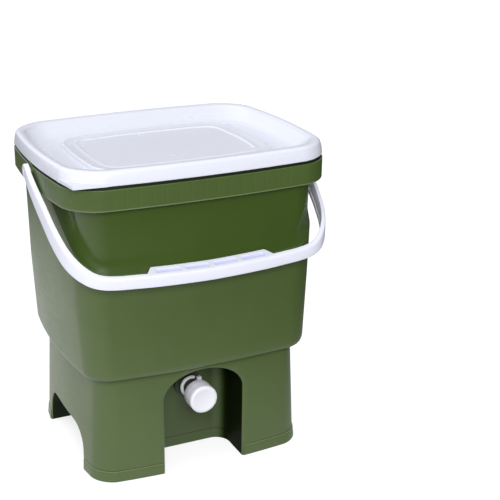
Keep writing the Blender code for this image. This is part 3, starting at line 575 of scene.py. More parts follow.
def bail_white():
    return plastic("bail_white", colours().bail, 0.3, mottle=0.01, edge=0.0004)


# Painted shade on the floors of the grip's slots
def slot_shade_white():
    return plastic("slot_shade_white", colours().slot, 0.35, mottle=0.01)


def knob_white():
    return plastic("knob_white", colours().knob, 0.34, mottle=0.01, edge=0.0004, depth=0.08)


# Dark valve body, its colour also standing in for the shade in the niche
def valve_shade_green():
    return plastic("valve_shade_green", colours().valve, 0.45, grain=0.2)


def strainer_green():
    return plastic("strainer_green", colours().strainer, 0.45, grain=0.25, edge=0.0004)


def black_rubber():
    return plastic("black_rubber", colours().rubber, 0.75, grain=0.4, mottle=0.08)


# Tub. Profiles are rows of inset and height

# Inside and outside of the skirt's foot over the collar's lower edge, each set in from its side of the skirt
FOOT_INSIDE = ((0, 0.001), (0.0003, 0.0003), (0.0008, 0))
FOOT_OUTSIDE = ((0.001, 0), (0.0004, 0.0003), (0, 0.001), (0, 0.0017))
# Upper edge of the collar with the groove under the lid, from the collar's top
COLLAR_EDGE = ((0, -0.0036), (0.0004, -0.0031), (0.001, -0.0029), (0.0013, -0.0025), (0.0013, -0.0006),
               (0.0015, -0.0002), (0.002, 0))
# Lip from outside to inside: its feet count from the collar's top, its rounded edge from the lip's own top
LIP_OUTSIDE, LIP_INSIDE = ((-0.0004, 0), (0, 0.0004)), ((0.0024, 0.0002),)
LIP_EDGE = ((0, -0.0006), (0.0005, 0), (0.0019, 0), (0.0024, -0.0006))
# Socket round each pin: radius, and distance from the tub's middle
BOSS = ((0.005, 0.1588), (0.005, 0.1606), (0.0056, 0.1608), (0.0086, 0.1608), (0.0095, 0.1603),
        (0.0098, 0.1588))
# Height where the pocket's lines are laid out, rounding of the panel's edge, and where the pocket fades out
POCKET_LEVEL, PANEL_BLEND, POCKET_FADE = 0.28, 0.004, 0.012
# Shares of the way from the pocket's edge to its panel where the ramp starts to ease off and where it is flat
EASE_START, EASE_END = 0.5, 1.5
# Rows up the shell to the pocket, up its panel, and down the inside
SHELL_ROWS, PANEL_ROWS, INSIDE_ROWS = 14, 8, 11
# Shares of the way where rows lie: over the pocket's ramp, up the collar, and down the inside of the pocket
RAMP_STEPS, COLLAR_STEPS = (0.04, 0.2, 0.4, *np.arange(5, 16) / 10), (0.25, 0.5, 0.75)
UNDER_STEPS = (0.8, 0.6, 0.45, 0.3, 0.2, 0.1, 0.0)
# How far below the web the pocket's ramp and the tub's inner neck end
RAMP_END, NECK = 0.004, 0.003
# Inner edge of the mouth: how far below the collar's top, and share of the pocket's set-back, and how far its
# first row is set back
MOUTH, MOUTH_EDGE = ((0.0008, 0.25), (0.006, 0.6)), 0.0002
# Rounding of the tub's floor and of the well's foot, and how far the well reaches up into the ledge
FLOOR_ROUND, WELL_ROUND, WELL_LAP = 0.006, 0.003, 0.0012
# Gap between the well and the niche's lining, at its sides and at its back
SIDE_GAP, BACK_GAP = 0.0006, 0.0003
# Where cutters end outside the bin: in front, beside and above it
FRONT_END, SIDE_END, TOP_END = -0.14, 0.16, 0.3
# Radius of the hole for the tap, and from where to where it goes through the tub and the stand
TAP_HOLE, TUB_HOLE, STAND_HOLE = 0.0086, (0.04, 0.058), (0.05, 0.064)
# Play round the pins, and how far from the middle their inner ends are
PIN_PLAY, PIN_END = 0.0005, 0.1515
# Collar's ribs: half the room that they leave at the pins, half their thickness, every how many columns one
# stands, how far they start over the collar's lower edge, and how far they run into the shell and the skirt
RIB_ROOM, RIB_HALF, RIB_EVERY, RIB_LOW, SHELL_LAP, SKIRT_LAP = 0.014, 0.0007, 4, 0.007, 0.001, 0.0005
# Painted highlight line over the collar's lower edge and over the ledge, and depth of the groove under the
# lid that gets painted shade
LINE_LOW, LINE_HIGH, LEDGE_LINE, GROOVE = 0.0002, 0.0016, 0.0006, 0.0027
# Rise of a normal up to which a face counts as upright, and below which it looks straight down
UPRIGHT, DOWNWARD = 0.95, -0.99


def even_shares(count):
    """Even shares of a way, from the first step to its end."""
    return np.linspace(0, 1, count + 1)[1:]


def shell_plan(height, grow):
    """Plan of the tub's outer shell at a height, grown or set back evenly."""
    s = sizes()
    low, middle, top = np.array(s.low), np.array(s.middle), np.array(s.top)
    if height <= s.mid_height:
        size = low + (middle - low) * (height - s.ledge) / (s.mid_height - s.ledge)
    else:
        size = middle + (top - middle) * min((height - s.mid_height) / (s.collar_bottom - s.mid_height), 1)
    share = min((height - s.ledge) / (s.collar_bottom - s.ledge), 1)
    return plan(size, s.low_radius + (s.top_radius - s.low_radius) * share, -grow)


def shell_row(heights, insets):
    """One row of the shell where every column has its own height and set-back."""
    return [(*shell_plan(z, -inset)[i], z) for i, (z, inset) in enumerate(zip(heights, insets))]


def pocket_lines():
    """For every column: height of the pocket's outer edge, of its panel's edge, and how deep it may get."""
    s = sizes()
    y = shell_plan(POCKET_LEVEL, 0)[:, 1]
    line = np.minimum(s.collar_bottom, s.pocket_height + s.pocket_rise * y)
    climb = s.panel_rise * (y + s.panel_corner)
    panel = s.panel_height + (climb + np.hypot(climb, PANEL_BLEND)) / 2
    return line, panel, s.pocket * smooth((s.collar_bottom - line) / POCKET_FADE)


def recess(z):
    """How far every column of the shell is set back at its height: a ramp that eases into the panel."""
    line, panel, depth = pocket_lines()
    t = np.clip((z - line) / (panel - line), 0, EASE_END)
    return depth * (t - (np.maximum(t, EASE_START) - EASE_START) ** 2 / 2)


def tub_outside(ceiling):
    """Loops up the outside: rounded lower edge, wall, pocket, and panel as far as the web's underside."""
    s = sizes()
    line, panel, _ = pocket_lines()
    loops = []
    for come, rise in quarter(6):
        z = s.ledge + s.edge_rise * come
        loops.append(level(shell_plan(z, -s.edge_inset * rise), z))
    start = s.ledge + s.edge_rise
    for t in even_shares(SHELL_ROWS):
        loops.append(shell_row(start + (line - start) * t, 0 * line))
    reach = np.minimum(panel, line + (ceiling - RAMP_END - line) / EASE_END) - line
    for t in RAMP_STEPS:
        z = line + reach * t
        loops.append(shell_row(z, recess(z)))
    for t in even_shares(PANEL_ROWS):
        top = z + (ceiling - z) * t
        loops.append(shell_row(top, recess(top)))
    return loops


def tub_collar(ceiling):
    """Loops down the inside of the collar's skirt, round its foot, up its outside and over the lip."""
    s = sizes()
    wall, foot, top = s.collar_wall, s.collar_bottom, s.collar_top
    edge = top + COLLAR_EDGE[0][1]
    rows = [(wall, ceiling)]
    rows += [(wall - inset, foot + z) for inset, z in FOOT_INSIDE]
    rows += [(inset, foot + z) for inset, z in FOOT_OUTSIDE]
    rows += [(0, foot + (edge - foot) * t) for t in COLLAR_STEPS]
    loops = stack(s.collar, s.collar_radius, rows) + stack(s.collar, s.collar_radius, COLLAR_EDGE, top)
    for base, profile in ((top, LIP_OUTSIDE), (top + s.lip_height, LIP_EDGE), (top, LIP_INSIDE)):
        loops += stack(s.lip, s.collar_radius, profile, base)
    return loops


def tub_inside(ceiling):
    """Loops down the inside, from the lip to the rounded floor."""
    s = sizes()
    line = pocket_lines()[0]
    ones = np.ones(len(line))
    neck = ceiling - NECK
    loops = [level(shell_plan(s.collar_bottom, -s.wall - MOUTH_EDGE), s.collar_top)]
    for drop, share in (*MOUTH, (s.collar_top - neck, 1.0)):
        z = (s.collar_top - drop) * ones
        loops.append(shell_row(z, s.wall + recess(z) * share))
    under = line - s.wall
    for t in UNDER_STEPS:
        z = under + (neck - under) * t
        loops.append(shell_row(z, s.wall + recess(z + s.wall)))
    base = s.tub_floor + FLOOR_ROUND
    for t in even_shares(INSIDE_ROWS):
        loops.append(shell_row(under * (1 - t) + base * t, s.wall * ones))
    for come, rise in quarter(5, 1):
        z = s.tub_floor + FLOOR_ROUND * rise
        loops.append(level(shell_plan(max(z, s.ledge), -s.wall - FLOOR_ROUND * come), z))
    return loops


def well(name, inset, low, high):
    """Well under the tub's floor, tapered and rounded at its foot, and notched round the tap's niche."""
    s = sizes()
    foot = [side - s.well_taper for side in s.well]
    rows = [(inset + WELL_ROUND * come, WELL_ROUND * rise) for come, rise in ((1, 0), (0.3, 0.3), (0, 1))]
    loops = stack(foot, s.well_radius, rows, low) + stack(s.well, s.well_radius, [(inset, high)])
    half = s.niche_half + s.stand_wall + SIDE_GAP + inset
    back = s.stand_wall + BACK_GAP - s.niche_back + inset
    return carve(skin(name, loops), cuts([block("notch", (-half, FRONT_END, 0), (half, back, TOP_END))]))


def tap_hole(near, far):
    """Cutter for the tap's hole between two distances from the tub's middle."""
    return at_tap("hole", ((TAP_HOLE, near), (TAP_HOLE, far)), 40)


def paint_tub(tub):
    """Give faces their materials by where they lie: the panel under the collar painted darker as shade,
    painted highlight lines over the collar's lower edge and over the ledge, and painted shade in the groove
    under the lid.
    """
    s = sizes()
    foot = s.collar_bottom
    for face in tub.data.polygons:
        x, y, z = face.center
        y -= s.shift
        outward = face.normal.x * x + face.normal.y * y > 0
        upright = outward and abs(face.normal.z) < UPRIGHT
        # Painted shade: faces of the panel under the collar get the darker panel material
        face.material_index = int(outward and s.pocket_height + s.pocket_rise * y < z < foot)
        # Painted highlight lines over the collar's lower edge and over the ledge
        if upright and (foot + LINE_LOW < z < foot + LINE_HIGH or z < s.ledge + LEDGE_LINE):
            face.material_index = 2
        # Painted shade in the groove under the lid
        elif upright and s.collar_top - GROOVE < z < s.collar_top + s.lip_height:
            face.material_index = 3


def collar_ribs(ceiling):
    """Upright ribs between the shell and the collar's skirt, with room for the pins."""
    s = sizes()
    near = shell_plan(s.collar_bottom, -s.pocket - SHELL_LAP)
    far = plan(s.collar, s.collar_radius - SKIRT_LAP, s.collar_wall - SKIRT_LAP)
    heights = s.collar_bottom + RIB_LOW, ceiling + SKIRT_LAP
    ribs = []
    for a, b in list(zip(near, far))[::RIB_EVERY]:
        if abs(b[1]) >= RIB_ROOM:
            along = (b - a) / np.linalg.norm(b - a)
            across = np.array([-along[1], along[0]]) * RIB_HALF
            quad = [a - across, b - across, b + across, a + across]
            ribs.append(skin("rib", [level(quad, z) for z in heights]))
    return merge("collar_ribs", ribs)


class BIN_OT_tub(bpy.types.Operator):
    """Build the tub with its collar, lip, handle pocket, well and ribs"""
    bl_idname = "bin.tub"
    bl_label = "Tub"

    def execute(self, context):
        s = sizes()
        ceiling = s.collar_top - s.collar_web
        tub = skin("tub", tub_outside(ceiling) + tub_collar(ceiling) + tub_inside(ceiling))
        outer = well("well", 0, s.well_floor, s.ledge + WELL_LAP)
        hollow = well("hollow", s.wall, s.well_floor + s.wall, s.tub_floor + FLOOR_ROUND)
        pin_hole = s.pin_radius + PIN_PLAY
        holes = at_pins("hole", ((pin_hole, PIN_END), (pin_hole, s.bail_half)), 32)
        carve(tub, [("UNION", outer)] + cuts([hollow, tap_hole(*TUB_HOLE), *holes]), 34)
        dress(tub, "bin", (green(), shaded_panel_green(), highlight_green(), shade_green()), ("bucket",))
        paint_tub(tub)
        dress(collar_ribs(ceiling), "bin", (green(),))
        bosses = at_pins("boss", BOSS, closed=True)
        dress(merge("pivot_bosses", bosses), "bin", (green(),))
        return {"FINISHED"}


# Stand. Profiles are rows of inset and height

# Lower edge of the foot band, and its upper edge over the band's height
BAND_FOOT = ((0.001, 0), (0.0003, 0.0003), (0, 0.001))
BAND_TOP = ((0, -0.0006), (0.0002, -0.0001), (0.0008, 0.0001))
# Upper edge of the stand, height of its wall's edges, step of its inside over the foot band, and how far the
# inside's cutter goes on over the stand
STAND_TOP, STAND_EDGE, BAND_STEP, PAST_TOP = ((0.0002, -0.0002), (0.0006, 0)), 0.0006, 0.0008, 0.01
# Slack for picking faces by place, and how far over the foot band its painted highlight line and its painted
# shadow line reach
SLACK, STEP_TOP, SHADOW_LINE_TOP = 0.0005, 0.0002, 0.0006
# How far a rounded cutter goes on past the stand's face, and how far below the floor the cutters start
PAST_FACE, TOOL_LOW, LINING_LOW = 0.006, -0.01, -0.02


def stand_half(z):
    """Half width and half depth of the stand's outside over the band."""
    s = sizes()
    t = np.clip((z - s.band_height) / (s.stand_height - s.band_height), 0, 1)
    return [(low + (top - low) * t) / 2 for low, top in zip(s.stand_low, s.stand_top)]


def niche_outline(inset, grow, low):
    """Arch points seen from the front, grown evenly and cut off at a set-in half width."""
    s = sizes()
    full = s.niche_half + grow
    half = full - inset
    start = math.acos(min(1, half / full))
    turn = np.linspace(start, math.pi - start, 49)
    xz = np.c_[full * np.cos(turn), s.niche_spring + (s.niche_rise + grow) * np.sin(turn)]
    return np.vstack([[(half, low)], xz, [(-half, low)]])


def niche_tool(name, grow, low, flare):
    """Cutter for the niche: rounded back corners, and a rounded front edge where flare is given."""
    s = sizes()
    loops = []

    def add(xz, y):
        loops.append(np.c_[xz[:, 0], np.broadcast_to(y, len(xz)), xz[:, 1]])

    if flare:
        for come, rise in quarter(8):
            xz = niche_outline(0, flare * rise, low)
            half, deep = stand_half(xz[:, 1])
            front = s.bow_front * (xz[:, 0] / half) ** 2 - deep
            if not loops:
                add(xz, front - PAST_FACE)
            add(xz, front + flare * come)
    else:
        add(niche_outline(0, grow, low), FRONT_END)
    r = s.niche_radius + grow
    for come, rise in quarter(10):
        add(niche_outline(r * come, grow, low), grow - s.niche_back - r * rise)
    return skin(name, loops)


def arch_outline(grow, low):
    """Points of a side arch seen from the side, grown evenly."""
    s = sizes()
    reach, top, r = s.arch_half + grow, s.arch_height + grow, s.arch_radius + grow
    foot = [(-reach - s.arch_spread, low), (reach + s.arch_spread, low)]
    arcs = [corner_arc(y, top - r, r, start, 14) for y, start in ((reach - r, 0), (r - reach, 90))]
    return np.vstack([foot, *arcs])


def arch_tool(name, side, grow, low, flare):
    """Cutter for a side arch, with a rounded outer edge where flare is given."""
    s = sizes()
    loops = []

    def add(yz, x):
        loops.append(np.c_[side * np.broadcast_to(x, len(yz)), yz])

    if flare:
        for come, rise in quarter(6):
            yz = arch_outline(flare * rise, low)
            half, deep = stand_half(yz[:, 1])
            face = half - s.bow_side * (yz[:, 0] / deep) ** 2
            if not loops:
                add(yz, face + PAST_FACE)
            add(yz, face - flare * come)
    else:
        add(arch_outline(grow, low), SIDE_END)
    add(arch_outline(grow, low), s.arch_depth - grow)
    return skin(name, loops)


def stand_outside():
    """Loops up the stand's outside, with the foot band and its step."""
    s = sizes()
    r, low, top = s.stand_radius, np.array(s.stand_low), np.array(s.stand_top)
    loops = stack(s.foot, r, BAND_FOOT) + stack(s.band, r, BAND_TOP, s.band_height)
    start, rise = s.band_height + STAND_EDGE, s.stand_height - 2 * STAND_EDGE - s.band_height
    for t in np.linspace(0, 1, 13):
        loops += stack(low + (top - low) * t, r, [(0, start + rise * t)])
    return loops + stack(top, r, STAND_TOP, s.stand_height)


def stand_hollow():
    """The stand's inside, which leaves a wall round the niche and the side arches."""
    s = sizes()
    wall, top = s.stand_wall, s.stand_height
    rows = ((s.foot, wall), (s.stand_low, s.band_height + BAND_STEP), (s.stand_top, top),
            (s.stand_top, top + PAST_TOP))
    hollow = skin("hollow", [level(plan(size, s.stand_radius, wall), z) for size, z in rows])
    linings = [niche_tool("lining", wall, LINING_LOW, 0)]
    linings += [arch_tool("lining", side, wall, LINING_LOW, 0) for side in (-1, 1)]
    return carve(hollow, cuts(linings))


def paint_stand(stand):
    """Give faces their materials by where they lie: painted shade in the niche and inside the side arches,
    and a painted highlight line and a painted shadow line over the foot band.
    """
    s = sizes()
    for face in stand.data.polygons:
        x, y, z = face.center
        y -= s.shift
        half, deep = stand_half(z)
        front = s.bow_front * (x / half) ** 2 - deep + s.niche_flare
        side = half - s.bow_side * (y / deep) ** 2 - s.arch_flare - STEP_TOP
        in_niche = abs(x) < s.niche_half + SLACK and front < y < SLACK - s.niche_back
        in_arch = s.arch_depth - SLACK < abs(x) < side and abs(y) < s.arch_half + s.arch_spread + SLACK
        step = z - s.band_height
        # Painted shade: the niche's faces get the darker niche material
        if in_niche and face.normal.z > DOWNWARD:
            face.material_index = 1
        # Painted shade inside the side arches
        elif in_arch and z > s.stand_wall:
            face.material_index = 4
        # Painted highlight line at the top of the foot band
        elif -SLACK < step < STEP_TOP:
            face.material_index = 2
        # Painted shadow line just over the foot band's top
        elif STEP_TOP <= step < SHADOW_LINE_TOP:
            face.material_index = 3


class BIN_OT_stand(bpy.types.Operator):
    """Build the stand with its foot band, tap niche and side arches"""
    bl_idname = "bin.stand"
    bl_label = "Stand"

    def execute(self, context):
        s = sizes()
        stand = skin("stand", stand_outside())
        hollow = stand_hollow()
        tools = [niche_tool("niche", 0, TOOL_LOW, s.niche_flare)]
        tools += [arch_tool("arch", side, 0, TOOL_LOW, s.arch_flare) for side in (-1, 1)]
        carve(stand, cuts(tools + [hollow, tap_hole(*STAND_HOLE)]), 30)
        materials = (stand_green(), niche_shade_green(), highlight_green(), shade_green(), arch_shade_green())
        dress(stand, "bin", materials, ("base_stand",))
        paint_stand(stand)
        return {"FINISHED"}


# Lid. Profiles are rows of inset across, inset in depth and height, as shares of the slope and of the height

LID_SKIRT = ((0.075, 0.045, 0.0), (0.03, 0.018, 0.0), (0.008, 0.005, 0.01), (0, 0, 0.04),
             (0.002, 0.001, 0.12), (0.014, 0.009, 0.3), (0.03, 0.018, 0.48))
LID_TOP = ((0.052, 0.031, 0.66), (0.096, 0.058, 0.89), (0.19, 0.125, 1.0), (0.315, 0.225, 0.985))
LID_EDGE = ((0.384, 0.3, 0.955), (0.398, 0.315, 0.93), (0.405, 0.324, 0.895), (0.412, 0.332, 0.835))
LID_SLOPE = ((0.412, 0.332, 0.835), (0.519, 0.472, 0.545), (0.704, 0.719, 0.095), (0.889, 0.921, -0.1),
             (0.965, 0.955, -0.135))
LID_FLOOR = (0.985, 0.97, -0.135)
LID_UNDER = ((1.06, 1.04, -0.29), (0.859, 0.903, -0.24), (0.644, 0.683, -0.03), (0.444, 0.422, 0.475),
             (0.341, 0.303, 0.735), (0.193, 0.146, 0.845), (0.141, 0.085, 0.66), (0.089, 0.054, 0.04))
# Bead: inset in shares of its band, and height in shares of its rise
BEAD = ((0.0, 0.0), (0.025, 0.07), (0.055, 0.46), (0.09, 0.86), (0.15, 1.0), (0.24, 0.97), (0.42, 0.84),
        (0.62, 0.76), (0.76, 0.8), (0.84, 0.86), (0.89, 0.82), (0.93, 0.66), (0.965, 0.6), (1.0, 0.59))
# Flat round the bead's foot, how much thicker the floor is than the wall, and how far the tab reaches in
BEAD_MARGIN, FLOOR_EXTRA, TAB_LAP = 0.001, 0.0003, 0.0012


def lid_row(across, deep, up):
    """Loop of the lid at one row of its profile."""
    s = sizes()
    size = s.lid[0] - 2 * across * s.lid_slope[0], s.lid[1] - 2 * deep * s.lid_slope[1]
    return level(plan(size, s.lid_radius - s.lid_corner_drop * across), s.lid_bottom + up * s.lid_height)


def lid_upper():
    """Loops from the lid's lower edge over the rim and down to the tray, then over the bead."""
    s = sizes()
    rows = [*LID_SKIRT, *curve_rows(LID_TOP, 5), *LID_EDGE, *curve_rows(LID_SLOPE, 5)[1:], LID_FLOOR]
    floor = s.lid_bottom + LID_FLOOR[2] * s.lid_height
    bead = [(-BEAD_MARGIN, 0)] + [(s.bead_band * t, s.bead_rise * up) for t, up in curve_rows(BEAD, 4)]
    return [lid_row(*row) for row in rows] + stack(s.bead, s.bead_radius, bead, floor, s.bead_bow)


def lid_lower():
    """Loops of the underside, from its middle out to the lower edge."""
    s = sizes()
    under = s.lid_bottom + LID_FLOOR[2] * s.lid_height - FLOOR_EXTRA - s.lid_wall
    middle = stack(s.bead, s.bead_radius, [(s.bead_band, 0)], under, s.bead_bow)
    return middle + [lid_row(*row) for row in LID_UNDER]


def lid_shell():
    """Upper side and underside joined at the lower edge, each closed by a flat middle."""
    upper, lower = lid_upper(), lid_lower()
    n, last, total = len(upper[0]), len(upper) - 1, len(upper) + len(lower)
    faces = []
    for k in range(total):
        if k != last:
            faces += bridge(n, k, (k + 1) % total)
    faces.append(tuple(range(last * n, (last + 1) * n)))
    faces.append(tuple(reversed(range((last + 1) * n, (last + 2) * n))))
    return solid("lid_shell", np.vstack(upper + lower), faces, 50)


def pull_tab():
    """Tab that fills the space outside the lid's rounded corner."""
    s = sizes()
    first = 3 * (s.corner_steps + s.side_steps)

    def corner(radius, inset=0.0):
        return plan(s.lid, radius, inset)[first:first + s.corner_steps + 1]

    skirt = corner(s.lid_radius)
    rim = np.vstack([skirt[:1], corner(s.tab_radius), skirt[-1:], corner(s.lid_radius, TAB_LAP)[::-1]])
    return skin("tab", [level(rim, s.lid_bottom), level(rim, s.lid_bottom + s.tab_thickness)])


class BIN_OT_lid(bpy.types.Operator):
    """Build the tray lid with its bead and pull tab"""
    bl_idname = "bin.lid"
    bl_label = "Lid"

    def execute(self, context):
        lid = carve(lid_shell(), [("UNION", pull_tab())], 40)
        dress(lid, "lid", (lid_white(),), ("lid",))
        return {"FINISHED"}


# Handle

# The handle's line from the pin to the middle of the bar: shares of the reach and of the half width,
# and the section's shape: -1 at the eye, 0 on the arm, 1 on the bar
BAIL = ((0, 1, -1), (0.09, 1.003, -0.9), (0.22, 0.997, -0.5), (0.36, 0.986, -0.1), (0.52, 0.973, 0),
        (0.64, 0.956, 0.1), (0.728, 0.935, 0.3), (0.8, 0.904, 0.5), (0.866, 0.859, 0.7), (0.917, 0.803, 0.85),
        (0.95, 0.728, 0.95), (0.967, 0.627, 1), (0.976, 0.52, 1), (0.984, 0.43, 1), (0.99, 0.33, 1),
        (0.996, 0.18, 1), (1, 0, 1))
# The grip's ends: how far it goes on past its half length, and over what length it fades
GRIP_PAST, GRIP_FADE = 0.0035, 0.0066
# Share of the flange at which the grip's top starts to slope
SLOPE_START = 0.78
# Corner radius of the grip slots, how many there are, and how far over the grip's top their cutters go
SLOT_CORNER, SLOT_COUNT, SLOT_OVER = 0.002, 4, 0.006
# Foot of a slot's cutter: how far it is drawn in at a height over the slot's floor
SLOT_EDGE = ((0.0006, 0), (0.0002, 0.0002), (0, 0.0006))
# Slack for picking a slot's faces by place, and how far below the grip's top they start
SLOT_SLACK, SLOT_SHALLOW = 0.0003, 0.0002
# Ribs in the channel: how far from its ends they start, from one to the next, half their thickness, share of
# the wall that they run into, and how far they stay inside the channel's open side
BAIL_RIB_ENDS, BAIL_RIB_PITCH, BAIL_RIB_HALF, BAIL_RIB_LAP, BAIL_RIB_BACK = 0.03, 0.0165, 0.0006, 0.6, 0.0012
# Outer edge of the eye and the dimple in it, as radius and distance past the handle's outer face; the edge's
# radius counts from the eye's own, and the face bulges from a share of it
EYE_OUTER, EYE_BULGE = ((0, -0.001), (-0.0003, -0.0003), (-0.001, 0.0002)), 0.55
EYE_DIMPLE = ((0.003, 0.0004), (0.0026, -0.0001), (0.001, -0.0001))
# Rounding of the eye's inner edge, rounding of the pin's tip, and how far the pin runs into the arm
EYE_EDGE, PIN_TIP, PIN_LAP = 0.0006, 0.0008, 0.003
# Rounded edges of the channel's section, as steps inwards and up from each sharp corner: lower and upper edge
# of the outer face, the ridge, both sides of the back's foot, the roof's front corner, the front's inner foot
LOW_EDGE = ((0.0004, 0.0001), (0.0001, 0.0004), (0, 0.0009))
HIGH_EDGE = ((0.0001, -0.0014), (0.0004, -0.0007), (0.0009, -0.0001))
RIDGE_EDGE = ((-0.0009, -0.0001), (-0.0003, -0.0003), (0, -0.0009))
BACK_OUTSIDE, BACK_INSIDE = ((0, 0.0005), (-0.0004, 0)), ((0.0004, 0), (0, 0.0005))
ROOF_EDGE, FRONT_INSIDE = ((0.0004, 0), (0, -0.0005)), ((0, 0.0006), (-0.0004, 0))
# Bulge of the outer face: how far it stands out, and at what share of its lower and of its upper part
BULGE_LOW, BULGE_HIGH = (-0.0002, 0.3), (-0.0001, 0.5)
# Middle of the shoulder, as shares of the flange and of the rise, how far its end is under its full rise, and
# how far a point lies over the fold
SHOULDER_MIDDLE, SHOULDER_DIP, OVER_FOLD = (0.5, 0.55), 0.0003, 0.0003

Section = namedtuple("Section", "low high width ridge fold foot roof back")


def bail_stations():
    """Points, inward and upward directions, section shape and share of the grip along the whole handle."""
    s = sizes()
    half = [(r, -w, shape) for r, w, shape in BAIL]
    rows = curve_rows(half + [(r, -w, shape) for r, w, shape in reversed(half[:-1])], 9)
    points = np.c_[rows[:, 1] * s.bail_half, -rows[:, 0] * s.bail_reach, s.pivot - rows[:, 0] * s.bail_drop]
    grip = np.clip((s.grip_half + GRIP_PAST - np.abs(points[:, 0])) / GRIP_FADE, 0, 1)
    ahead = np.gradient(points, axis=0)
    inward = np.c_[-ahead[:, 1], ahead[:, 0], 0 * ahead[:, 0]]
    inward /= np.linalg.norm(inward, axis=1)[:, None]
    rise = np.cross(ahead, inward)
    rise /= np.linalg.norm(rise, axis=1)[:, None]
    rise[rise[:, 2] < 0] *= -1
    return points, inward, rise, rows[:, 2], grip


def bail_frame(shape, grip):
    """Measures of the section: its outer face from low to high, breadth, ridge, fold, foot, roof and back."""
    s = sizes()
    low, high = [np.interp(shape, (-1, 0, 1), faces) for faces in zip(s.eye_face, s.arm_face, s.bar_face)]
    width = s.bail_flange + (s.grip_flange - s.bail_flange) * grip
    ridge = high + s.shoulder + s.grip_rise * grip
    fold = (ridge - s.grip_lip / 2) * grip - s.step_below * (1 - grip)
    foot = (ridge - s.grip_lip) * grip - low * (1 - grip)
    roof = ridge - s.bail_wall - (s.grip_wall - s.bail_wall) * grip
    return Section(low, high, width, ridge, fold, foot, roof, width + s.bail_step * (1 - 2 * grip))


def rounded(inward, up, rows):
    """Points of a rounded edge round its sharp corner."""
    return [(inward + across, up + along) for across, along in rows]


def bail_section(shape, grip):
    """Open channel with rounded edges: distance inwards from its outer face, and height over its plane."""
    s = sizes()
    f = bail_frame(shape, grip)
    w, low, high, width, back = s.bail_wall, f.low, f.high, f.width, f.back
    outer = [(w / 2, -low), *rounded(0, -low, LOW_EDGE)]
    outer += [(BULGE_LOW[0], -low * BULGE_LOW[1]), (BULGE_HIGH[0], high * BULGE_HIGH[1])]
    upper = [*rounded(0, high, HIGH_EDGE),
             (s.bail_flange * SHOULDER_MIDDLE[0], high + s.shoulder * SHOULDER_MIDDLE[1]),
             (s.bail_flange * SLOPE_START, high + s.shoulder - SHOULDER_DIP),
             *rounded(width, f.ridge, RIDGE_EDGE)]
    inner = [(width, f.fold + OVER_FOLD), (width, f.fold), (back, f.fold - s.bail_step),
             *rounded(back, f.foot, BACK_OUTSIDE)]
    hollow = [*rounded(back - w, f.foot, BACK_INSIDE), (back - w, f.roof), *rounded(w, high - w, ROOF_EDGE),
              *rounded(w, -low, FRONT_INSIDE)]
    return outer + upper + inner + hollow


def bail_channel(points, inward, rise, shapes, grips):
    """The handle's channel, one loop for each station along it."""
    loops = []
    for p, n, u, shape, grip in zip(points, inward, rise, shapes, grips):
        loops.append([p + n * a + u * b for a, b in bail_section(shape, grip)])
    return skin("bail", loops)


def eyes_and_pins():
    """Round end of each arm with its dimple, and the pin on its inside."""
    s = sizes()
    r, out, inner = s.eye_radius, s.bail_half, s.bail_half - s.bail_flange
    rows = [(EYE_DIMPLE[-1][0], inner), (r - EYE_EDGE, inner), (r, inner + EYE_EDGE)]
    rows += [(r + grow, out + far) for grow, far in EYE_OUTER]
    rows.append((r * EYE_BULGE, out + EYE_DIMPLE[0][1]))
    rows += [(radius, out + far) for radius, far in EYE_DIMPLE]
    pin = s.pin_radius
    pin_rows = ((pin - PIN_TIP, PIN_END), (pin, PIN_END + PIN_TIP), (pin, out - PIN_LAP))
    pairs = zip(at_pins("eye", rows), at_pins("pin", pin_rows, 40))
    return [("UNION", tool) for pair in pairs for tool in pair]


def slot_middles():
    """Places of the grip's slots across the bar."""
    return [(k - (SLOT_COUNT - 1) / 2) * sizes().slot_pitch for k in range(SLOT_COUNT)]


def grip_top(x, n, points):
    """Place of the bar's outer face and height of the grip's sloping top above it."""
    s = sizes()
    bar = points[np.abs(points[:, 0]) < s.grip_half]
    start = s.bail_flange * SLOPE_START
    top = s.bar_face[1] + s.shoulder + s.grip_rise / (s.grip_flange - start) * (n - start)
    return np.interp(x, bar[:, 0], bar[:, 1]), np.interp(x, bar[:, 0], bar[:, 2]) + top


def grip_slot(middle, points):
    """Cutter for one shallow slot with round ends in the grip's sloping top."""
    s = sizes()
    half, deep = s.slot_length / 2 - SLOT_CORNER, s.slot_width / 2 - SLOT_CORNER
    corners = ((half, -deep, -90), (half, deep, 0), (-half, deep, 90), (-half, -deep, 180))
    across, along = np.vstack([corner_arc(x, y, SLOT_CORNER, start, 6) for x, y, start in corners]).T
    loops = []
    for shrink, over in (*SLOT_EDGE, (0, SLOT_OVER + s.slot_depth)):
        x = middle + across * (1 - shrink / s.slot_length * 2)
        n = s.slot_inset + along * (1 - shrink / s.slot_width * 2)
        y, z = grip_top(x, n, points)
        loops.append(np.c_[x, y + n, z + over - s.slot_depth])
    return skin("slot", loops)


def paint_slots(handle, points):
    """Give the floors of the grip's slots their material, a darker and bluer white as painted shade."""
    s = sizes()
    for face in handle.data.polygons:
        x, y, z = face.center
        nearest = min(slot_middles(), key=lambda middle: abs(x - middle))
        n = y - s.shift - grip_top(x, 0, points)[0]
        across, along = abs(x - nearest) - s.slot_length / 2, abs(n - s.slot_inset) - s.slot_width / 2
        if max(across, along) < SLOT_SLACK:
            drop = grip_top(x, n, points)[1] - z
            face.material_index = int(SLOT_SHALLOW < drop < s.slot_depth + SLOT_SLACK)


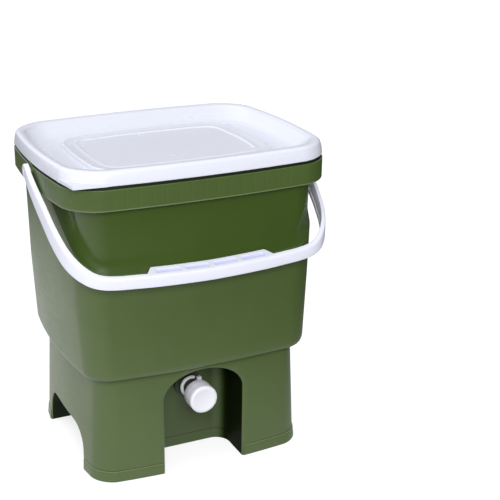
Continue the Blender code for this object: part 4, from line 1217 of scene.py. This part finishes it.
def bail_ribs(points, inward, rise, shapes, grips):
    """Thin ribs across the inside of the channel, evenly along the handle."""
    ribs = []
    lap = sizes().bail_wall * BAIL_RIB_LAP
    run = np.r_[0, np.cumsum(np.linalg.norm(np.diff(points, axis=0), axis=1))]
    for place in np.arange(BAIL_RIB_ENDS, run[-1] - BAIL_RIB_ENDS, BAIL_RIB_PITCH):
        i = int(np.searchsorted(run, place))
        p, n, u = points[i], inward[i], rise[i]
        f = bail_frame(shapes[i], grips[i])
        half = np.cross(n, u) * BAIL_RIB_HALF
        deep = max(f.foot, -f.low) + BAIL_RIB_BACK
        face = [(lap, f.high - lap), (lap, deep), (f.back - lap, deep), (f.back - lap, f.roof + lap / 2)]
        ribs.append(skin("rib", [[p + n * a + u * b + half * side for a, b in face] for side in (-1, 1)]))
    return merge("bail_ribs", ribs)


class BIN_OT_handle(bpy.types.Operator):
    """Build the handle: channel section, eyes, pins, grip slots and inner ribs"""
    bl_idname = "bin.handle"
    bl_label = "Handle"

    def execute(self, context):
        stations = bail_stations()
        points = stations[0]
        handle = bail_channel(*stations)
        slots = [grip_slot(middle, points) for middle in slot_middles()]
        carve(handle, eyes_and_pins() + cuts(slots), 36)
        dress(handle, "handle", (bail_white(), slot_shade_white()), ("handle",))
        paint_slots(handle, points)
        dress(bail_ribs(*stations), "handle", (bail_white(),))
        return {"FINISHED"}


# Strainer

# Rim from its foot over the top to the plate: inset and height
STRAINER_RIM = ((0.0006, 0), (0, 0.0006), (0, 0.0054), (0.0006, 0.006), (0.0022, 0.006), (0.0028, 0.0054),
                (0.0028, 0.0036), (0.0036, 0.003))
# Waisted hole through the plate, and the lifting knob: radius and height
STRAINER_HOLE = ((0.003, -0.004), (0.0024, 0.0015), (0.003, 0.009))
STRAINER_LIFT = ((0.0095, 0.001), (0.0085, 0.0055), (0.0088, 0.0085), (0.0107, 0.0105), (0.0107, 0.0115),
                 (0.01, 0.012), (0.004, 0.0118))
# From one hole to the next, room round the lifting knob, and half width and half depth of the field of holes
HOLE_PITCH, LIFT_ROOM, FIELD_HALF, FIELD_DEEP = 0.0135, 0.024, 0.118, 0.092
# Play round the strainer and under it
STRAINER_PLAY, STRAINER_GAP = 0.0025, 0.0003


def strainer_holes(low):
    """Cutters for the holes, in rows that are offset by half a pitch."""
    rows = [(radius, low + z) for radius, z in STRAINER_HOLE]
    holes = []
    last, deep = int(FIELD_HALF / HOLE_PITCH), int(FIELD_DEEP / HOLE_PITCH)
    for i in range(-last, last + 1):
        for j in range(-deep, deep + 1):
            x, y = (i + 0.5 * (j % 2)) * HOLE_PITCH, j * HOLE_PITCH
            if math.hypot(x, y) > LIFT_ROOM and abs(x) < FIELD_HALF and abs(y) < FIELD_DEEP:
                holes.append(lathe("hole", rows, (x, y, 0), (0, 0, 1), 14))
    return merge("holes", holes)


class BIN_OT_strainer(bpy.types.Operator):
    """Build the strainer plate with its rim, holes and lifting knob"""
    bl_idname = "bin.strainer"
    bl_label = "Strainer"

    def execute(self, context):
        s = sizes()
        low = s.tub_floor + STRAINER_GAP
        rim = [(s.wall + STRAINER_PLAY + inset, z) for inset, z in STRAINER_RIM]
        plate = skin("strainer", stack(s.low, s.low_radius, rim, low))
        lift = lathe("lift", [(radius, low + z) for radius, z in STRAINER_LIFT], (0, 0, 0), (0, 0, 1), 40)
        carve(plate, cuts([strainer_holes(low)]) + [("UNION", lift)])
        dress(plate, "strainer", (strainer_green(),), ("strainer_grate",))
        return {"FINISHED"}


# Tap

# Shallow dish in the knob's face: share of its radius, and how far behind its face
KNOB_DISH = ((0.66, 0.0005), (0.7, 0.0002), (0.76, 0))
# Knob's rounded front edge and the seam behind it: how far in from its radius, and how far behind its face
KNOB_FRONT = ((0.0026, 0), (0.0015, 0.0003), (0.0006, 0.0009), (0.0001, 0.0018), (0, 0.0028), (0, 0.01),
              (0.0003, 0.0102), (0.0003, 0.0105), (0, 0.0107))
# The knob's stem: radius and how far behind the knob's back, then where it ends, and radius of the flat ends
KNOB_STEM, STEM_END, STEM_CORE = ((0.0066, 0.0001), (0.0056, 0.0004), (0.0052, 0.001)), 0.062, 0.0005
# Bore in the stem and its port: radius, start of the bore, its end past the spout, and the port's end
BORE, BORE_START, BORE_PAST, PORT_END = 0.0032, 0.056, 0.0064, 0.011
# Split ring: where it starts, how far round it goes, over what angle its ends narrow and by what share, and
# half its depth
RING_START, RING_FULL, RING_FADE = math.radians(68), math.radians(337.5), math.radians(4)
RING_NARROW, RING_HALF = 0.25, 0.0021
# Ear on the split ring: half its size each way, its place beside and over the tap's axis, and its tilt
EAR, EAR_PLACE, EAR_TURN = (0.0026, 0.0018, 0.0028), (0.0105, 0.0076), math.radians(-12)


def tap_knob():
    """Turned knob with a shallow dish in its face, a stem, and the bore that lets the liquid out."""
    s = sizes()
    front, back, r = s.knob_front, s.knob_back, s.knob_radius
    rows = [(STEM_CORE, front - KNOB_DISH[0][1])]
    rows += [(r * share, front - behind) for share, behind in KNOB_DISH]
    rows += [(r - inset, front - behind) for inset, behind in KNOB_FRONT]
    rows += [(r - s.knob_edge * come, back + s.knob_edge * rise) for come, rise in quarter(8)]
    rows += [(radius, back - behind) for radius, behind in KNOB_STEM]
    rows += [(KNOB_STEM[-1][0], STEM_END), (STEM_CORE, STEM_END)]
    knob = at_tap("knob", rows, 96)
    bore = at_tap("bore", ((BORE, BORE_START), (BORE, s.spout_place + BORE_PAST)), 24)
    port = lathe("port", ((BORE, 0), (BORE, PORT_END)), (0, -s.spout_place, s.tap_height), (1, 0, 0), 24)
    return carve(knob, cuts([bore, port]))


def split_ring():
    """Ring with an open gap and rounded ends behind the knob, with a small ear."""
    s = sizes()
    centre = Vector((0, -s.ring_place, s.tap_height))
    stop = RING_START + RING_FULL
    loops = []
    for turn in np.linspace(RING_START, stop, 97):
        away = Vector((math.cos(turn), 0, math.sin(turn)))
        end = min(turn - RING_START, stop - turn)
        share = 1 - RING_NARROW * (1 - smooth(end / RING_FADE))
        loop = []
        for angle in np.linspace(0, 2 * math.pi, 20, endpoint=False):
            out = s.ring_radius - s.ring_tube + s.ring_tube * math.cos(angle) * share
            loop.append(centre + away * out - Vector((0, RING_HALF * math.sin(angle) * share, 0)))
        loops.append(loop)
    ear = block("ear", [-half for half in EAR], EAR)
    place = centre + Vector((EAR_PLACE[0], 0, EAR_PLACE[1]))
    ear.data.transform(Matrix.Translation(place) @ Matrix.Rotation(EAR_TURN, 4, "Y"))
    return carve(skin("split_ring", loops), [("UNION", ear)])


def finish_solid(node, material):
    """Give a piece that keeps its solid a material and a slot."""
    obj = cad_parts[node]
    obj.data.materials.clear()
    obj.data.materials.append(material)


class BIN_OT_tap(bpy.types.Operator):
    """Build the tap's knob and split ring and finish its inner pieces"""
    bl_idname = "bin.tap"
    bl_label = "Tap"

    def execute(self, context):
        dress(tap_knob(), "tap_knob", (knob_white(),), ("tap_knob",))
        dress(split_ring(), "bin", (knob_white(),), ("tap_split_ring",))
        finish_solid("tap_body", valve_shade_green())
        finish_solid("tap_nut", knob_white())
        for node in ("tap_washer_outer", "tap_washer_inner", "tap_gland_seal", "lid_seal"):
            finish_solid(node, black_rubber())
        return {"FINISHED"}


# Stage

# Soft light of the room: direction, where it starts and where it is full (as cosines), and its strength
SKY = (((-0.85, 0.5, 0.1), 0.2, 0.85, 0.86), ((0.0, 0.2, 1.0), 0.0, 1.0, 0.64),
       ((-0.45, -0.85, 0.3), 0.2, 0.95, 0.12), ((0.85, -0.6, 0.05), 0.3, 0.92, -0.11))
SKY_BASE, SKY_COLOUR, WHITE = 0.14, (0.97, 0.98, 1.0, 1), (1, 1, 1, 1)
# Lamps: name, place, side length and power, and the place that they shine at
LAMPS = (("key_lamp", (-0.48, -1.82, 1.29), 0.9, 35),)
LAMP_TARGET = (0, 0, 0.2)
# Floor: half its side, its thickness, and how bright the camera sees it
FLOOR_HALF, FLOOR_THICK, FLOOR_SEEN = 8.0, 0.02, 0.7
# Bright patch of the floor in reflections: middle, full and faded brightness, and where it fades
PATCH, PATCH_FULL, PATCH_LEFT, PATCH_START, PATCH_END = (-0.46, 0.15, 0), 1.0, 0.05, 0.35, 1.15
# Camera fitted to the photo: the photo's side, focal length and middle in its pixels, and the sensor's width
# in millimetres, then its place and its directions to the right, up and ahead
PHOTO_SIDE, FOCAL, MIDDLE_X, MIDDLE_Y, SENSOR = 500, 1096.86, 166.03, 254.34, 36
CAMERA_PLACE = (-0.4647, -1.1343, 0.6838)
CAMERA_AXES = ((0.9237, -0.3829, -0.0112), (0.1438, 0.3194, 0.9367), (0.3551, 0.8668, -0.3501))


def floor_material():
    """Floor that the camera sees nearly white, and that shows a bright patch in reflections."""
    mat = bpy.data.materials.new("floor")
    g = Graph(mat)
    shader = g.nodes["Principled BSDF"]
    ray = g.add("LightPath").outputs
    away = g.measure("DISTANCE", g.add("TexCoord").outputs["Object"], PATCH)
    mirrored = g.times(ray["Is Glossy Ray"], g.spread(away, PATCH_FULL, PATCH_LEFT, PATCH_START, PATCH_END))
    seen = g.times(ray["Is Camera Ray"], FLOOR_SEEN)
    g.put(shader, "Base Color", g.scaled(colours().floor, g.maths("SUBTRACT", 1.0, ray["Is Glossy Ray"])))
    g.put(shader, "Roughness", 0.9)
    g.put(shader, "Specular IOR Level", 0.0)
    g.put(shader, "Emission Color", WHITE)
    g.put(shader, "Emission Strength", g.maths("ADD", mirrored, seen))
    return mat


def sky():
    """White background for the camera and soft light from a few sides for everything else."""
    world = bpy.data.worlds.new("sky")
    g = Graph(world)
    g.nodes.clear()
    toward = g.add("TexCoord").outputs["Generated"]
    strength = SKY_BASE
    for direction, start, end, full in SKY:
        share = g.measure("DOT_PRODUCT", toward, Vector(direction).normalized())
        strength = g.maths("ADD", strength, g.spread(share, 0.0, full, start, end))
    lit = g.add("Background", Color=SKY_COLOUR, Strength=strength)
    seen = g.add("Background", Strength=1.0, Color=WHITE)
    mix = g.add("MixShader", Fac=g.add("LightPath").outputs["Is Camera Ray"])
    g.put(mix, 1, lit.outputs[0])
    g.put(mix, 2, seen.outputs[0])
    g.put(g.add("OutputWorld"), "Surface", mix.outputs[0])
    return world


def add_lamp(name, place, size, power):
    """Square lamp that shines at the bin."""
    lamp = bpy.data.lights.new(name, "AREA")
    lamp.shape = "SQUARE"
    lamp.size = size
    lamp.energy = power
    obj = bpy.data.objects.new(name, lamp)
    obj.location = place
    obj.rotation_euler = (Vector(LAMP_TARGET) - Vector(place)).to_track_quat("-Z", "Y").to_euler()
    bpy.context.scene.collection.objects.link(obj)


def add_camera():
    """Camera fitted to the photo."""
    cam = bpy.data.cameras.new("camera")
    obj = bpy.data.objects.new("camera", cam)
    bpy.context.scene.collection.objects.link(obj)
    bpy.context.scene.camera = obj
    cam.sensor_width = SENSOR
    cam.lens = SENSOR * FOCAL / PHOTO_SIDE
    cam.shift_x = (PHOTO_SIDE / 2 - MIDDLE_X) / PHOTO_SIDE
    cam.shift_y = (MIDDLE_Y - PHOTO_SIDE / 2) / PHOTO_SIDE
    cam.clip_start, cam.clip_end = 0.05, 50
    right, up, ahead = [Vector(axis).normalized() for axis in CAMERA_AXES]
    x, y, z = CAMERA_PLACE
    turn = Matrix((right, up, -ahead)).transposed().to_4x4()
    obj.matrix_world = Matrix.Translation((x, y + sizes().shift, z)) @ turn


class BIN_OT_stage(bpy.types.Operator):
    """Set the floor, lamps, sky and camera"""
    bl_idname = "bin.stage"
    bl_label = "Stage"

    def execute(self, context):
        context.scene.view_settings.view_transform = "Standard"
        floor = block("floor", (-FLOOR_HALF, -FLOOR_HALF, -FLOOR_THICK), (FLOOR_HALF, FLOOR_HALF, 0))
        floor.data.materials.append(floor_material())
        context.scene.world = sky()
        for lamp in LAMPS:
            add_lamp(*lamp)
        add_camera()
        return {"FINISHED"}


STEPS = ("tub", "stand", "lid", "handle", "strainer", "tap", "stage")


class BIN_PT_panel(bpy.types.Panel):
    """Buttons, sizes and colours of the bin"""
    bl_idname = "BIN_PT_panel"
    bl_label = "Bokashi bin"
    bl_space_type = "VIEW_3D"
    bl_region_type = "UI"
    bl_category = "Bin"

    def draw(self, context):
        for step in STEPS:
            self.layout.operator("bin." + step)
        for group in (context.scene.bin_sizes, context.scene.bin_colours):
            for key in group.__annotations__:
                self.layout.prop(group, key)


CLASSES = (BinSizes, BinColours, BIN_OT_tub, BIN_OT_stand, BIN_OT_lid, BIN_OT_handle, BIN_OT_strainer,
           BIN_OT_tap, BIN_OT_stage, BIN_PT_panel)


def register():
    for cls in CLASSES:
        bpy.utils.register_class(cls)
    bpy.types.Scene.bin_sizes = PointerProperty(type=BinSizes)
    bpy.types.Scene.bin_colours = PointerProperty(type=BinColours)


def unregister():
    del bpy.types.Scene.bin_sizes, bpy.types.Scene.bin_colours
    for cls in reversed(CLASSES):
        bpy.utils.unregister_class(cls)


def main():
    register()
    for step in STEPS:
        getattr(bpy.ops.bin, step)()


if __name__ == "__main__":
    main()
